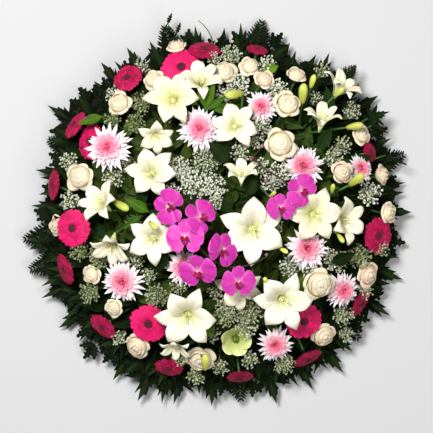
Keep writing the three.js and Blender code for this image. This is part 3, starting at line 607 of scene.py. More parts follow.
def leaf_look(name, pale, deep, rib, roughness):
    """A leaf: a green between two, with a pale midrib and side veins that leave it at a slant."""
    look = Look(name, roughness, 0.05, 0.04)
    colour = look.mix(look.tone, linear(deep), linear(pale))
    along, aside = look.math("MULTIPLY", look.u, 52.0), look.math("MULTIPLY", look.across, 9.0)
    wave = look.math("SINE", look.math("SUBTRACT", along, aside), 0.0)
    veins = look.math("POWER", look.math("MAXIMUM", wave, 0.0), 8.0)
    middle = look.math("SUBTRACT", 1.0, look.math("MULTIPLY", look.across, 9.0), clamp=True)
    lines = look.math("ADD", look.math("MULTIPLY", veins, 0.25), middle, clamp=True)
    colour = look.mix(look.math("MULTIPLY", lines, 0.6), colour, linear(rib))
    spots = look.ramp(look.noise(60.0, 4.0), [(0.3, 0xB4B4B4), (0.7, 0xFFFFFF)])
    colour = look.mix(0.7, colour, spots, "MULTIPLY")
    look.bump(lines, 0.3)
    look.finish(colour)


def speckled_look(name, dark, light, scale, roughness, glow=0.0, bump=0.2):
    """A finish of one hue with fine speckles."""
    look = Look(name, roughness, glow, 0.4)
    grains = look.noise(scale, 5.0)
    colour = look.ramp(grains, [(0.35, dark), (0.65, light)])
    shade = look.ramp(look.tone, [(0.0, 0xFFFFFF), (1.0, 0xC8C8C8)])
    colour = look.mix(0.6, colour, shade, "MULTIPLY")
    look.bump(grains, bump)
    look.finish(colour)


petal_look(
    "lily_petal",
    [(0.0, 0xD8E094), (0.2, 0xEEECC6), (0.42, 0xF4F0DE), (1.0, 0xF7F4E4)],
    [(0.0, 0xD0D66C), (0.25, 0xE8E49C), (0.55, 0xF0E8C0), (1.0, 0xF5ECCE)],
    streak=0xD4D0AC, share=0.4, rib=0xCED488,
)
petal_look(
    "rose_petal",
    [(0.0, 0xD0D694), (0.3, 0xF0E6C0), (0.7, 0xF4EACC), (1.0, 0xF8F0D9)],
    [(0.0, 0xC8C480), (0.3, 0xF0D4B0), (0.7, 0xF4DCC4), (1.0, 0xF8E4D0)],
    streak=0xF0E2BC, share=0.2, glow=0.34,
)
petal_look(
    "lisianthus_petal",
    [(0.0, 0x6C842C), (0.3, 0xACBA60), (0.65, 0xD4DA90), (1.0, 0xECEAB4)],
    [(0.0, 0x4C6818), (0.3, 0x889C3C), (0.65, 0xBCC270), (1.0, 0xDCD89C)],
    streak=0xDCE0B0, share=0.2, rib=0x94A84C,
)
petal_look(
    "gerbera_petal",
    [(0.0, 0xBC0048), (0.35, 0xE80864), (1.0, 0xF8247C)],
    [(0.0, 0x680020), (0.35, 0x8C0030), (1.0, 0xB00040)],
    streak=0x8C0038, share=0.4, roughness=0.6, glow=0.3,
)
petal_look(
    "chrysanthemum_petal",
    [(0.0, 0xFF7CA8), (0.25, 0xFFB8D0), (0.55, 0xFFF4F6), (1.0, 0xFFFFFF)],
    [(0.0, 0xFF4480), (0.5, 0xFF6492), (1.0, 0xFF8CAE)],
    streak=0xFFC8DC, share=0.1, glow=0.32,
)
petal_look(
    "orchid_petal",
    [(0.0, 0xF4C0E4), (0.2, 0xE648BC), (0.8, 0xE03CB8), (1.0, 0xEC74C8)],
    [(0.0, 0xDC80C4), (0.25, 0xC02494), (0.8, 0xBC1C90), (1.0, 0xD444A8)],
    streak=0xA0148C, share=0.6, streaks=18, edge=0xE878D8, edge_share=0.4,
)
petal_look(
    "orchid_lip",
    [(0.0, 0xF0A060), (0.25, 0xB00858), (1.0, 0x980048)],
    [(0.0, 0xE88050), (0.3, 0xA00050), (1.0, 0x80003C)],
    streak=0x600030, share=0.4, roughness=0.4,
)
petal_look(
    "bud",
    [(0.0, 0xA4AC44), (0.3, 0xDCD860), (0.7, 0xF0E878), (1.0, 0xE4DC60)],
    [(0.0, 0x647A28), (0.3, 0xA2AC44), (0.7, 0xBEC65C), (1.0, 0xA4AE48)],
    streak=0xA8B03C, share=0.3, streaks=30, glow=0.1,
)
petal_look(
    "filler_petal",
    [(0.0, 0xD4D8B0), (0.3, 0xE8E8D8), (1.0, 0xF4F4EC)],
    [(0.0, 0x4C5C20), (0.4, 0x747C3C), (1.0, 0xA8B078)],
    streak=0xD0D0AC, share=0.1,
)
leaf_look("leaf", 0x162A08, 0x040A02, 0x24380E, 0.55)
# A lighter green for the leaves in the middle: partly their own colour, partly painted light on leaves in
# shade.
leaf_look("inner_leaf", 0x42561E, 0x0C1C08, 0x5C6C30, 0.5)
leaf_look("fresh_leaf", 0x5C7C1C, 0x1C4808, 0x6C8C30, 0.45)
speckled_look("lisianthus_eye", 0x2C3808, 0x6C7C20, 300.0, 0.5)
speckled_look("gerbera_eye", 0x2C0410, 0x6C1430, 400.0, 0.7)
speckled_look("orchid_column", 0xF4B488, 0xFFE8D8, 300.0, 0.4, 0.1)
speckled_look("orchid_stem", 0x20160A, 0x3C2C14, 200.0, 0.6)
speckled_look("orchid_bud", 0x6C3448, 0xA86C78, 160.0, 0.45)
speckled_look("throat", 0xDCE488, 0xF2F4C0, 250.0, 0.4, 0.15)
speckled_look("stem", 0x1C3C0C, 0x3C601C, 180.0, 0.5)
speckled_look("twig", 0x5C6C34, 0x98A468, 180.0, 0.6)
speckled_look("foam", 0x1C3C20, 0x3C6C3C, 140.0, 0.95, bump=0.6)
speckled_look("tray", 0x122A1A, 0x1C3C26, 90.0, 0.45, bump=0.1)


# Flowers, each facing +Z about its own origin


def lily(shape, matrix, R, rng, tone):
    """Six pointed tepals round a throat; the further the flower leans over, the less it opens."""
    phase = rng.uniform(0, 6.28)
    shut = np.clip(2.4 * (1 - matrix[2, 2]), 0, 0.9)

    def tepal(length, width, rise, bend):
        def surface(u, v):
            r = R * length * smooth(u, [0.03, 0.12, 0.27, 0.5, 0.76, 1.0]) * (1 - 0.12 * shut * u)
            s = R * v * smooth(u, width) * (1 - 0.3 * shut)
            wrap = np.clip(s / np.maximum(r, 1e-6), -1.3, 1.3)
            cup = 1 - smooth(u, [0, 0.1, 0.5, 0.9, 1, 1])
            x = r * (1 - cup) + r * np.cos(wrap) * cup
            y = s * (1 - cup) + r * np.sin(wrap) * cup + R * bend * u**2
            z = R * (smooth(u, [-0.72, -0.45, -0.2, 0.0, 0.11, 0.1, -0.12]) + rise * u)
            z = z + 0.42 * R * shut * u**1.5
            z = z - 0.06 * R * np.exp(-((v / 0.25) ** 2)) * np.sin(np.pi * np.clip(u * 1.1, 0, 1))
            z = z - 0.1 * R * np.abs(v) ** 2.5 * u * (1 - 0.3 * u)
            z = z + 0.045 * R * v**2 * np.sin(9 * u + phase + 2 * v) * u
            return x, y, z

        return surface

    lower = [0.03, 0.11, 0.2, 0.26, 0.29, 0.28, 0.24, 0.14, 0.01]
    upper = [0.03, 0.13, 0.25, 0.32, 0.36, 0.36, 0.3, 0.17, 0.01]
    for first, width, rise, reach in ((30, lower, 0.02, 1.04), (90, upper, 0.12, 0.98)):
        for i in range(3):
            angle = first + 120 * i + rng.uniform(-8, 8)
            length = reach * rng.uniform(0.94, 1.06)
            surface = tepal(length, width, rise + rng.uniform(-0.06, 0.1), rng.uniform(-0.12, 0.12))
            blade(shape, turned(matrix, angle), (14, 8), surface, "lily_petal", tone + rng.uniform(-0.1, 0.1))
    throat = [(0, -0.8), (0.05, -0.76), (0.08, -0.6), (0.13, -0.4), (0.09, -0.3), (0, -0.27)]
    lathe(shape, matrix, R, throat, "throat", 0.5)
    crown = turned(matrix, rng.uniform(0, 360), (0.1 * R, 0, 0.28 * R))
    tip, base = above(crown, 0), above(matrix, -0.5 * R)
    middle = (tip + base) / 2 + (matrix[:3, 0] * 0.03 * R)
    rod(shape, [base, middle, tip], [0.028 * R, 0.022 * R, 0.022 * R], "throat", 0.3)
    stigma = [(0, -0.02), (0.055, 0.0), (0.06, 0.025), (0, 0.04)]
    lathe(shape, crown, R, stigma, "throat", 0.8, sides=9, ribs=3, rib_depth=0.35)
    for i in range(6):
        out = turned(matrix, 60 * i + rng.uniform(-8, 8))
        stamen = np.array([[0.04, 0, -0.5], [0.08, 0, -0.15], [0.17, 0, rng.uniform(0.06, 0.16)]]) * R
        rod(shape, moved(out, stamen), 0.012 * R, "throat", 0.1, sides=5)


def bud(shape, matrix, R, rng, tone):
    """A closed, three-ribbed bud."""
    profile = [(0, -1), (0.1, -0.97), (0.22, -0.8), (0.31, -0.5), (0.38, -0.15), (0.42, 0.2), (0.4, 0.5)]
    profile += [(0.31, 0.75), (0.16, 0.92), (0.05, 0.98), (0, 1)]
    lathe(shape, matrix, R, profile, "bud", tone, sides=24, ribs=3, rib_depth=0.14)


def rose(shape, matrix, R, rng, tone):
    """Four rounds of cupped petals, the outer ones curled back, round a closed middle."""
    layers = (
        (2, 0.02, 0.34, 0.26, 120, 0.0, 0.05),
        (3, 0.36, 0.6, 0.22, 76, 0.0, 0.22),
        (4, 0.7, 0.8, 0.1, 60, 0.08, 0.3),
        (5, 0.98, 0.88, -0.1, 52, 0.2, 0.28),
    )
    for level, (count, rim, belly, top, spread, curl, scallop) in enumerate(layers):
        for i in range(count):
            angle = 360 * i / count + 53 * level + rng.uniform(-16, 16)
            lip = rim * rng.uniform(0.9, 1.08)
            crest = top + rng.uniform(-0.04, 0.04)
            wave = rng.uniform(0, 6.28)

            def surface(u, v):
                theta = math.radians(spread) * v * smooth(u, [0.5, 0.8, 1.0, 1.0, 0.8])
                r = smooth(u, [0.1, 0.75 * belly, belly, 0.55 * belly + 0.45 * lip, lip]) * (1 + 0.05 * v)
                r = r * (1 - scallop * np.abs(v) ** 2.5 * u**2) + 0.03 * np.sin(5 * v + wave) * u**2
                r = r + curl * smooth(u, [0, 0, 0, 0.2, 1.0])
                z = smooth(u, [-1.0, -0.7, -0.25, crest - 0.07, crest]) - curl * smooth(u, [0, 0, 0, 0, 0.8])
                z = z - (0.1 + 0.4 * curl) * np.abs(v) ** 2.2 * u**2 + 0.02 * np.sin(4 * v + wave) * u**3
                return R * r * np.cos(theta), R * r * np.sin(theta), R * z

            shade = tone + rng.uniform(-0.12, 0.12)
            lean = turned(matrix, angle, (rng.uniform(-0.05, 0.04) * R, 0, 0), pitch=rng.uniform(-8, 6))
            blade(shape, lean, (8, 8), surface, "rose_petal", shade, thick=0.6)
    middle = [(0, -0.8), (0.5, -0.6), (0.84, -0.34), (0.8, -0.14), (0.62, 0.0), (0.4, 0.1)]
    middle += [(0.2, 0.14), (0, 0.16)]
    lathe(shape, matrix, R, middle, "rose_petal", tone, sides=20)
    calyx(shape, matrix, R, 0.6)


def calyx(shape, matrix, R, reach):
    """The green cup under a flower, with five narrow sepals."""
    cup = [(0, -1.32), (0.16, -1.25), (0.24, -1.08), (0.2, -0.92), (0, -0.85)]
    lathe(shape, matrix, R, cup, "stem", 0.5)

    def sepal(u, v):
        w = 0.13 * R * v * smooth(u, [0.7, 1.0, 0.7, 0.05])
        return R * (0.16 + reach * u), w, R * (-1.15 + (reach - 0.05) * u**1.4)

    for i in range(5):
        blade(shape, turned(matrix, 72 * i + 20), (6, 4), sepal, "stem", 0.4)


def lisianthus(shape, matrix, R, rng, tone):
    """An open bowl of five broad petals round a green eye."""
    for i in range(5):
        wave = rng.uniform(0, 6.28)

        def surface(u, v):
            theta = math.radians(54) * v * smooth(u, [0.7, 1.0, 1.0, 0.95, 0.7])
            r = smooth(u, [0.08, 0.3, 0.62, 0.88, 1.06]) * (1 - 0.16 * np.abs(v) ** 2.5 * u**2)
            r = r * (1 + 0.05 * v)
            z = smooth(u, [-0.98, -0.82, -0.62, -0.36, -0.22]) + 0.04 * np.sin(4 * v + wave) * u**2
            return R * r * np.cos(theta), R * r * np.sin(theta), R * z

        lean = turned(matrix, 72 * i + rng.uniform(-6, 6))
        blade(shape, lean, (10, 12), surface, "lisianthus_petal", tone + rng.uniform(-0.1, 0.1), thick=0.6)
    eye = [(0, -0.95), (0.22, -0.9), (0.26, -0.74), (0.17, -0.56), (0, -0.5)]
    lathe(shape, matrix, R, eye, "lisianthus_eye", 0.5, sides=16, ribs=4, rib_depth=0.2)
    calyx(shape, matrix, R, 0.2)


def gerbera(shape, matrix, R, rng, tone):
    """Four rounds of flat rays round a dark eye of small florets."""
    for count, first, length, z_in, z_out, width in (
        (22, 0, 1.0, 0.02, -0.02, 0.2),
        (21, 8, 0.95, 0.04, 0.01, 0.19),
        (20, 3, 0.76, 0.06, 0.05, 0.15),
        (18, 9, 0.48, 0.09, 0.12, 0.095),
    ):
        for i in range(count):
            reach = R * length * rng.uniform(0.93, 1.03)
            side = R * width * rng.uniform(0.9, 1.1)
            droop = rng.uniform(-0.02, 0.02)

            def ray(u, v):
                w = side * v * smooth(u, [0.25, 0.55, 0.85, 1.0, 0.9, 0.3])
                x = 0.12 * R + (reach - 0.12 * R) * u
                z = R * (z_in + (z_out - z_in + droop) * u**1.5 + 0.05 * np.sin(np.pi * u)) - 0.06 * np.abs(w)
                return x, w, z

            angle = first + 360 * i / count + rng.uniform(-4, 4)
            shade = tone + rng.uniform(-0.35, 0.35)
            blade(shape, turned(matrix, angle), (6, 2), ray, "gerbera_petal", shade, thick=0.5)
    floret = [(0, -0.06), (0.03, -0.02), (0.026, 0.03), (0, 0.05)]
    rings = ((20, 0.17, 0.16), (16, 0.12, 0.15), (10, 0.07, 0.13), (1, 0.0, 0.12))
    for ring, (count, radius, height) in enumerate(rings):
        for i in range(count):
            at = (radius * R, 0, height * R)
            spot = turned(matrix, 360 * i / count + 8 * ring, at, pitch=60 - 10 * ring)
            lathe(shape, spot, R, floret, "gerbera_eye", ring / 3, sides=6)
    cup = [(0, -0.2), (0.18, -0.17), (0.27, -0.06), (0.22, 0.03), (0.15, 0.1), (0, 0.12)]
    lathe(shape, matrix, R, cup, "gerbera_eye", 0.9, sides=18)


def chrysanthemum(shape, matrix, R, rng, tone):
    """Eight rounds of narrow rays, pink and blunt towards the middle, that rise as they shorten."""
    pointed = [0.4, 0.72, 0.95, 1.0, 0.8, 0.45, 0.05]
    blunt = [0.4, 0.6, 0.8, 0.95, 1.0, 0.85, 0.3]
    for count, first, length, lift_out, width, pink, outline in (
        (20, 0, 1.0, -0.06, 0.118, 0.0, pointed),
        (19, 9, 0.9, 0.06, 0.125, 0.0, pointed),
        (17, 3, 0.75, 0.15, 0.13, 0.2, pointed),
        (15, 12, 0.56, 0.22, 0.13, 0.5, blunt),
        (13, 5, 0.44, 0.27, 0.125, 0.75, blunt),
        (11, 17, 0.33, 0.3, 0.115, 0.85, blunt),
        (9, 8, 0.22, 0.32, 0.1, 0.9, blunt),
        (6, 30, 0.13, 0.34, 0.085, 1.0, blunt),
    ):
        for i in range(count):
            reach = R * length * rng.uniform(0.85, 1.06)
            side = R * width * rng.uniform(0.85, 1.15)
            hook = rng.uniform(-0.06, 0.08)
            sway = rng.uniform(-0.08, 0.08)

            def ray(u, v):
                w = side * v * smooth(u, outline)
                x = 0.03 * R + (reach - 0.03 * R) * u
                z = R * (0.02 + lift_out * np.sin(0.5 * np.pi * np.clip(1.25 * u, 0, 1)) + hook * u**3)
                return x, w + R * sway * u**2, z + 0.5 * np.abs(w)

            angle = first + 360 * i / count + rng.uniform(-6, 6)
            level = np.clip(pink + rng.uniform(-0.1, 0.1), 0, 1)
            blade(shape, turned(matrix, angle), (7, 2), ray, "chrysanthemum_petal", level, thick=0.5)
    tip = [(0, 0.2), (0.07, 0.26), (0.06, 0.33), (0.03, 0.36), (0, 0.37)]
    lathe(shape, matrix, R, tip, "chrysanthemum_petal", 1.0, ribs=5, rib_depth=0.3)
    cup = [(0, -0.32), (0.14, -0.28), (0.2, -0.12), (0.17, 0.02), (0.1, 0.08), (0, 0.1)]
    lathe(shape, matrix, R, cup, "stem", 0.5)


def orchid(shape, matrix, R, rng, tone):
    """Three narrow petals behind two broad ones, and a lip of three lobes under the column."""
    matrix = turned(matrix, 0, pitch=rng.uniform(-13, 13), roll=rng.uniform(-13, 13))

    def round_petal(length, half, claw, curve):
        phase = rng.uniform(0, 6.28)

        def surface(u, v):
            w = R * half * v * smooth(u, [claw, 0.62, 0.95, 1.0, 0.8, 0.12])
            w = w * (1 + 0.05 * np.sin(9 * u + phase))
            x = R * length * (0.06 + 0.94 * (1 - (1 - u) ** 1.25))
            z = R * curve * np.sin(np.pi * 0.8 * u) - 0.18 * np.abs(w) * np.abs(v)
            z = z - 0.02 * R * np.exp(-((v / 0.16) ** 2))
            return x, w, z + 0.035 * R * np.sin(5 * v + 4 * u + phase) * u

        return surface

    def petals(angles, height, size, form, tone):
        for angle in angles:
            out = turned(matrix, angle + rng.uniform(-4, 4), (0, 0, height * R))
            blade(shape, out, size, round_petal(*form), "orchid_petal", tone)

    petals((90, 222, 318), -0.03, (10, 8), (0.95, 0.37, 0.3, 0.05), tone + 0.1)
    petals((8, 172), 0.03, (10, 10), (1.0, 0.58, 0.16, 0.08), tone)

    def side_lobe(u, v):
        w = 0.13 * R * v * smooth(u, [0.4, 1.0, 0.9, 0.2])
        return R * 0.26 * u, w, R * (0.04 + 0.22 * np.sin(1.4 * u)) + 0.3 * np.abs(w)

    def mid_lobe(u, v):
        w = 0.13 * R * v * smooth(u, [0.4, 0.6, 1.0, 0.9, 0.15])
        return R * 0.42 * u, w, R * (0.05 + 0.1 * np.sin(2.6 * u)) - 0.2 * np.abs(w)

    for angle in (215, 325):
        blade(shape, turned(matrix, angle), (6, 4), side_lobe, "orchid_lip", 0.3)
    blade(shape, turned(matrix, 270), (8, 6), mid_lobe, "orchid_lip", 0.7)
    column = [(0, -0.08), (0.06, -0.02), (0.07, 0.08), (0.055, 0.15), (0, 0.2)]
    lathe(shape, turned(matrix, 90, (0.02 * R, 0, 0.02 * R), pitch=-25), R, column, "orchid_column", 0.5)


# The form of each kind and the height of its back, where its stem joins, as a share of its radius.
HEADS = {
    "lily": (lily, -0.7),
    "rose": (rose, -1.2),
    "lisianthus": (lisianthus, -1.2),
    "gerbera": (gerbera, -0.1),
    "chrysanthemum": (chrysanthemum, -0.22),
    "bud": (bud, -0.85),
}


# Leaves, along +X from their base


def ovate(length, half, droop, fold):
    def surface(u, v):
        w = half * v * smooth(u, [0.08, 0.75, 1.0, 0.8, 0.42, 0.02])
        z = -droop * u**2 + fold * np.abs(w) + 0.03 * half * np.sin(8 * u + 5 * v)
        return length * u, w, z

    return surface


def spiny(length, half, droop, spines, deep=0.55):
    """A leaf edged with sharp points that sweep forward, and with hollows between them."""

    def surface(u, v):
        body = smooth(u, [0.2, 0.8, 1.0, 0.85, 0.55, 0.03])
        point = np.abs(2 * ((u * spines) % 1) - 1) ** 1.5
        w = half * v * body * (1 - deep + deep * point)
        z = -droop * u**2 + 0.2 * np.abs(w) + 0.12 * half * (point - 0.5) * np.abs(v)
        return length * u + 0.1 * half * point * np.abs(v), w, z

    return surface


def spiny_leaf(shape, matrix, length, half, rng, tone):
    """A leaf with four or five spines along each side."""
    spines = 5 if length > 60 else 4
    surface = spiny(length, half, rng.uniform(2, 7), spines + 0.5)
    blade(shape, matrix, (4 * spines + 2, 2), surface, "leaf", tone, thick=0.6)


# Half the outline of a broad leaf: angles from its tip, and distances from its middle as shares of length.
LOBE_ANGLES = [0, 8, 14, 23, 30, 43, 54, 61, 71, 80, 97, 110, 121, 136, 158, 180]
LOBE_SHARES = [0.7, 0.46, 0.52, 0.32, 0.38, 0.22, 0.42, 0.6, 0.38, 0.42, 0.22, 0.36, 0.48, 0.28, 0.22, 0.1]


def lobed_leaf(shape, matrix, length, rng, tone):
    """A broad leaf with five toothed lobes."""
    angles = np.radians([-angle for angle in LOBE_ANGLES[:0:-1]] + LOBE_ANGLES)
    radii = np.array(LOBE_SHARES[:0:-1] + LOBE_SHARES)
    radii[1:-1] *= rng.uniform(0.84, 1.12, len(radii) - 2)
    radii[len(LOBE_SHARES) - 1] = LOBE_SHARES[0]
    places = np.linspace(-1, 1, len(radii))
    fold, droop = rng.uniform(0.0, 0.12), rng.uniform(0.0, 0.06)

    def surface(u, v):
        angle = np.interp(v, places, angles)
        r = length * u * np.interp(v, places, radii)
        x, y = 0.3 * length + r * np.cos(angle), r * np.sin(angle)
        return x, y, fold * np.abs(y) - droop * x**2 / length + 0.02 * length * np.sin(7 * angle) * u

    blade(shape, matrix, (4, len(radii) - 1), surface, "leaf", tone, thick=0.6)


def compound_leaf(shape, matrix, length, rng, tone):
    """Spiny leaflets in pairs along a midrib, and one at its end."""
    rib = np.array([[length * t, 0, -5 * t**2] for t in np.linspace(0, 0.7, 5)])
    rod(shape, moved(matrix, rib), np.linspace(1.4, 0.7, 5), "leaf", tone, sides=5)
    for t, share, splay in ((0.08, 0.36, 64), (0.3, 0.44, 56), (0.52, 0.42, 44)):
        for side in (1, -1):
            spot = turned(matrix, 0, (length * t, 0, -5 * t**2))
            reach = length * share * rng.uniform(0.85, 1.1)
            bearing = side * (splay + rng.uniform(-8, 8))
            leaflet = turned(spot, bearing, pitch=rng.uniform(-4, 12), roll=rng.uniform(-18, 18))
            spiny_leaf(shape, leaflet, reach, reach * 0.34, rng, tone + rng.uniform(-0.15, 0.15))
    end = turned(matrix, rng.uniform(-6, 6), (length * 0.56, 0, -2))
    spiny_leaf(shape, end, length * 0.44, length * 0.15, rng, tone)


def fern(shape, matrix, length, half, rng, tone):
    """A frond: a midrib with pairs of leaflets that shorten towards the tip, each with small lobes."""
    rib = np.array([[length * t, 0, -6 * t**2] for t in np.linspace(0, 1, 7)])
    rod(shape, moved(matrix, rib), np.linspace(1.1, 0.4, 7), "leaf", tone, sides=5)
    pairs = 14
    for i in range(pairs):
        t = 0.06 + 0.9 * i / pairs
        reach = half * (1 - t) ** 0.8 * 1.35 + 3
        for side in (1, -1):
            stem = turned(matrix, 0, (length * t, 0, -6 * t**2))
            pinna = turned(stem, side * (60 - 22 * t) + rng.uniform(-4, 4), pitch=rng.uniform(-6, 8))
            surface = spiny(reach, reach * 0.1 + 2.2, 1.5, 3.5, 0.5)
            blade(shape, pinna, (14, 2), surface, "leaf", tone + rng.uniform(-0.1, 0.1), thick=0.4)


NARROW_LEAVES = {
    "spiny": (spiny_leaf, 0.26),
    "slim": (spiny_leaf, 0.11),
    "fern": (fern, 0.36),
    "frond": (fern, 0.2),
}


def leaf(form, shape, matrix, length, rng, tone):
    """A leaf of one of the forms; the half width of a narrow one is a share of its length."""
    if form == "lobed":
        lobed_leaf(shape, matrix, length, rng, tone)
    elif form == "ragged":
        compound_leaf(shape, matrix, length, rng, tone)
    else:
        make, share = NARROW_LEAVES[form]
        make(shape, matrix, length, share * length, rng, tone)


def ovate_leaf(shape, matrix, length, half, rng, tone, look="leaf"):
    droop = rng.uniform(2, 9)
    blade(shape, matrix, (8, 4), ovate(length, half, droop, rng.uniform(0.1, 0.35)), look, tone, thick=0.6)


def twig(shape, start, end, leaves, size, rng, look):
    """A leafy twig: each leaf is turned on from the one before it, and the last is at the tip."""
    path = bent(start, end, rng.uniform(-6, 6))
    rod(shape, path, np.linspace(1.9, 1.0, len(path)), "stem", 0.3)
    heading = math.degrees(math.atan2(end[1] - start[1], end[0] - start[0]))
    for i in range(leaves):
        share = 0.35 + 0.65 * i / max(leaves - 1, 1)
        spot = share * (len(path) - 1)
        k = min(int(spot), len(path) - 2)
        at = path[k] + (path[k + 1] - path[k]) * (spot - k)
        bearing = heading + LEAF_TURN * i + rng.uniform(-20, 20)
        matrix = turned(placed(at), bearing, pitch=rng.uniform(0, 32), roll=rng.uniform(-25, 25))
        length = size * rng.uniform(0.8, 1.15)
        ovate_leaf(shape, matrix, length, length * rng.uniform(0.2, 0.28), rng, rng.uniform(0, 1), look)


# Small filler flowers


def floret_star():
    """A tiny star of five points with a second, smaller one on it."""
    points, faces = [], []
    for radius, low, high, turn in ((1.0, -0.12, 0.1, 0), (0.62, 0.12, 0.34, 0.3)):
        base = len(points)
        points.append((0, 0, low))
        for i in range(10):
            angle = i / 10 * 2 * math.pi + turn
            reach = radius * (1 if i % 2 == 0 else 0.55)
            points.append((reach * math.cos(angle), reach * math.sin(angle), high + 0.12 * (i % 2 == 0)))
        points.append((0, 0, high - 0.05))
        for i in range(10):
            j = (i + 1) % 10
            faces.append((base, base + 1 + j, base + 1 + i))
            faces.append((base + 11, base + 1 + i, base + 1 + j))
    return np.array(points), faces


FLORET_POINTS, FLORET_FACES = floret_star()
FLORET_REACH = np.linalg.norm(FLORET_POINTS[:, :2], axis=1)
FLORET_UV = np.stack([FLORET_REACH, np.full(len(FLORET_POINTS), 0.5)], axis=-1)


def tuft(shape, root, crown, reach, tone, rng):
    """A bushy head of small flowers on fine twigs, over a stem from its root."""
    florets = int(FLORETS_PER_AREA * reach**2)
    rod(shape, bent(root, crown, 0, 5), np.linspace(*TUFT_STEM, 5), "stem", 0.8)
    stem = crown - root
    for i in range(florets):
        angle = TUFT_TURN * i + rng.uniform(-0.5, 0.5)
        out = reach * math.sqrt((i + 0.5) / florets) * rng.uniform(0.85, 1.1)
        rise = TUFT_RISE - TUFT_FALL * (out / reach) ** 2 + rng.uniform(-7, 5)
        end = crown + np.array([out * math.cos(angle), out * math.sin(angle), rise])
        start = root + stem * rng.uniform(0.72, 0.98)
        rod(shape, bent(start, end, 2, 3), FLORET_STEM, "twig", 0.5, sides=3)
        tilt = unit(np.array([rng.uniform(-0.5, 0.5), rng.uniform(-0.5, 0.5), 1]))
        size = rng.uniform(FLORET_LEAST, FLORET_MOST - 0.9 * tone)
        points = moved(facing_matrix(end, tilt, rng.uniform(0, 72)), FLORET_POINTS * size)
        shade = np.clip(tone + rng.uniform(-0.35, 0.35), 0, 1)
        shape.add(points, FLORET_FACES, FLORET_UV, shade, "filler_petal")


# The wreath

DOWN = np.array([0, 0, -1.0])

# Blooms on their stems

blooms = [(kind, place, rows) for kind, group in STEMS.items() for place, rows in enumerate(group, 1)]
for number, (kind, place, rows) in enumerate(blooms):
    rng = np.random.default_rng(BLOOM_SEED + number)
    name = f"{kind}_{place}"
    shape = Shape(f"{name}_bloom")
    backs = []
    for x, y, radius, lift, face_x, face_y, spin, tone, *other in rows:
        matrix = flower_matrix(x, y, lift, face_x, face_y, spin)
        head, back = HEADS[other[0] if other else kind]
        head(shape, matrix, radius, rng, tone)
        backs.append(above(matrix, back * radius))
    if len(backs) == 1:
        stalk(shape, bent(backs[0], root_under(backs[0]), 0), STEM_RADIUS, 0.3)
    else:
        fork = root_under(np.mean(backs, axis=0), -FORK_HEIGHT)
        stalk(shape, [fork, fork + DOWN * (FORK_HEIGHT + STEM_DEPTH)], STEM_RADIUS, 0.3)
        for back in backs:
            stalk(shape, bent(back, fork, 3), np.linspace(FORK_RADIUS, STEM_RADIUS, 6), 0.3)
    shape.piece(f"{kind}_flowers", name)

# Orchid sprays

ORCHID_BUD = [(0, -1), (0.5, -0.7), (0.75, 0), (0.5, 0.8), (0, 1.2)]


def nearest(curve, point):
    return curve[np.argmin(np.linalg.norm(curve - point, axis=1))]


for number, spray in enumerate(SPRAYS):
    rng = np.random.default_rng(ORCHID_SEED + number)
    name = f"orchid_{number + 1}"
    shape = Shape(f"{name}_bloom")
    path = np.array([on_dome(*row)[0] for row in spray["stem"]])
    root = over_foam(*from_pixels(*spray["stem"][0][:2]), -STEM_DEPTH)
    t = np.linspace(0, 1, 4 * len(path))
    curve = np.stack([smooth(t, path[:, k]) for k in range(3)], axis=-1)
    rod(shape, [root, path[0]], STEM_RADIUS, "orchid_stem", 0.3, sides=8)
    rod(shape, curve, np.linspace(*ORCHID_STEM, len(curve)), "orchid_stem", 0.4, sides=8)
    for x, y, radius, lift, face_x, face_y, spin, tone in spray["flowers"]:
        matrix = flower_matrix(x, y, lift, face_x, face_y, spin)
        orchid(shape, matrix, radius, rng, tone)
        back = above(matrix, -0.04 * radius)
        rod(shape, bent(nearest(curve, back), back, 3), ORCHID_SIDE_STEM, "orchid_stem", 0.6)
    for x, y, radius, lift in spray["buds"]:
        at = on_dome(x, y, lift)[0]
        near = nearest(curve, at)
        rod(shape, bent(near, at, 2), ORCHID_BUD_STEM, "orchid_stem", 0.5)
        aim = facing_matrix(at, unit(at - near + np.array([0, 0, 8.0])))
        lathe(shape, aim, radius, ORCHID_BUD, "orchid_bud", 0.5, sides=14, ribs=3, rib_depth=0.15)
    shape.piece("orchid_flowers", name)

# Filler sprays

for number, (at, tufts) in enumerate(FILLER_SPRAYS):
    rng = np.random.default_rng(FILLER_SEED + number)
    name = f"filler_{number + 1}"
    shape = Shape(f"{name}_bloom")
    root = over_foam(*from_pixels(*at), FORK_HEIGHT)
    stalk(shape, [root, root + DOWN * (FORK_HEIGHT + STEM_DEPTH)], FORK_RADIUS, 0.8)
    for x, y, reach, lift, tone in tufts:
        tuft(shape, root, on_dome(x, y, lift)[0], reach, tone, rng)
    for x, y, reach, lift, tone in MORE_TUFTS[number :: len(FILLER_SPRAYS)]:
        crown = on_dome(x, y, lift)[0]
        tuft(shape, root_under(crown), crown, reach, tone, rng)
    shape.piece("filler_flowers", name)

# Leafy branches and the rim

branches = [(Shape(f"foliage_{place}_leaves"), *row) for place, row in enumerate(BRANCHES, 1)]


def branch_at(bearing):
    """The branch whose stretch of the wreath a bearing lies in."""
    return min(branches, key=lambda row: abs((bearing - row[1] + 180) % 360 - 180))[0]


def bearing_of(point):
    return math.degrees(math.atan2(point[1], point[0]))


def leaf_stem(foot, tone):
    """The stem of a single leaf or sprig, on the branch that it belongs to."""
    holder = branch_at(bearing_of(foot) % 360)
    rod(holder, bent(root_under(foot), foot, 4), LEAF_STEM, "stem", tone)
    return holder


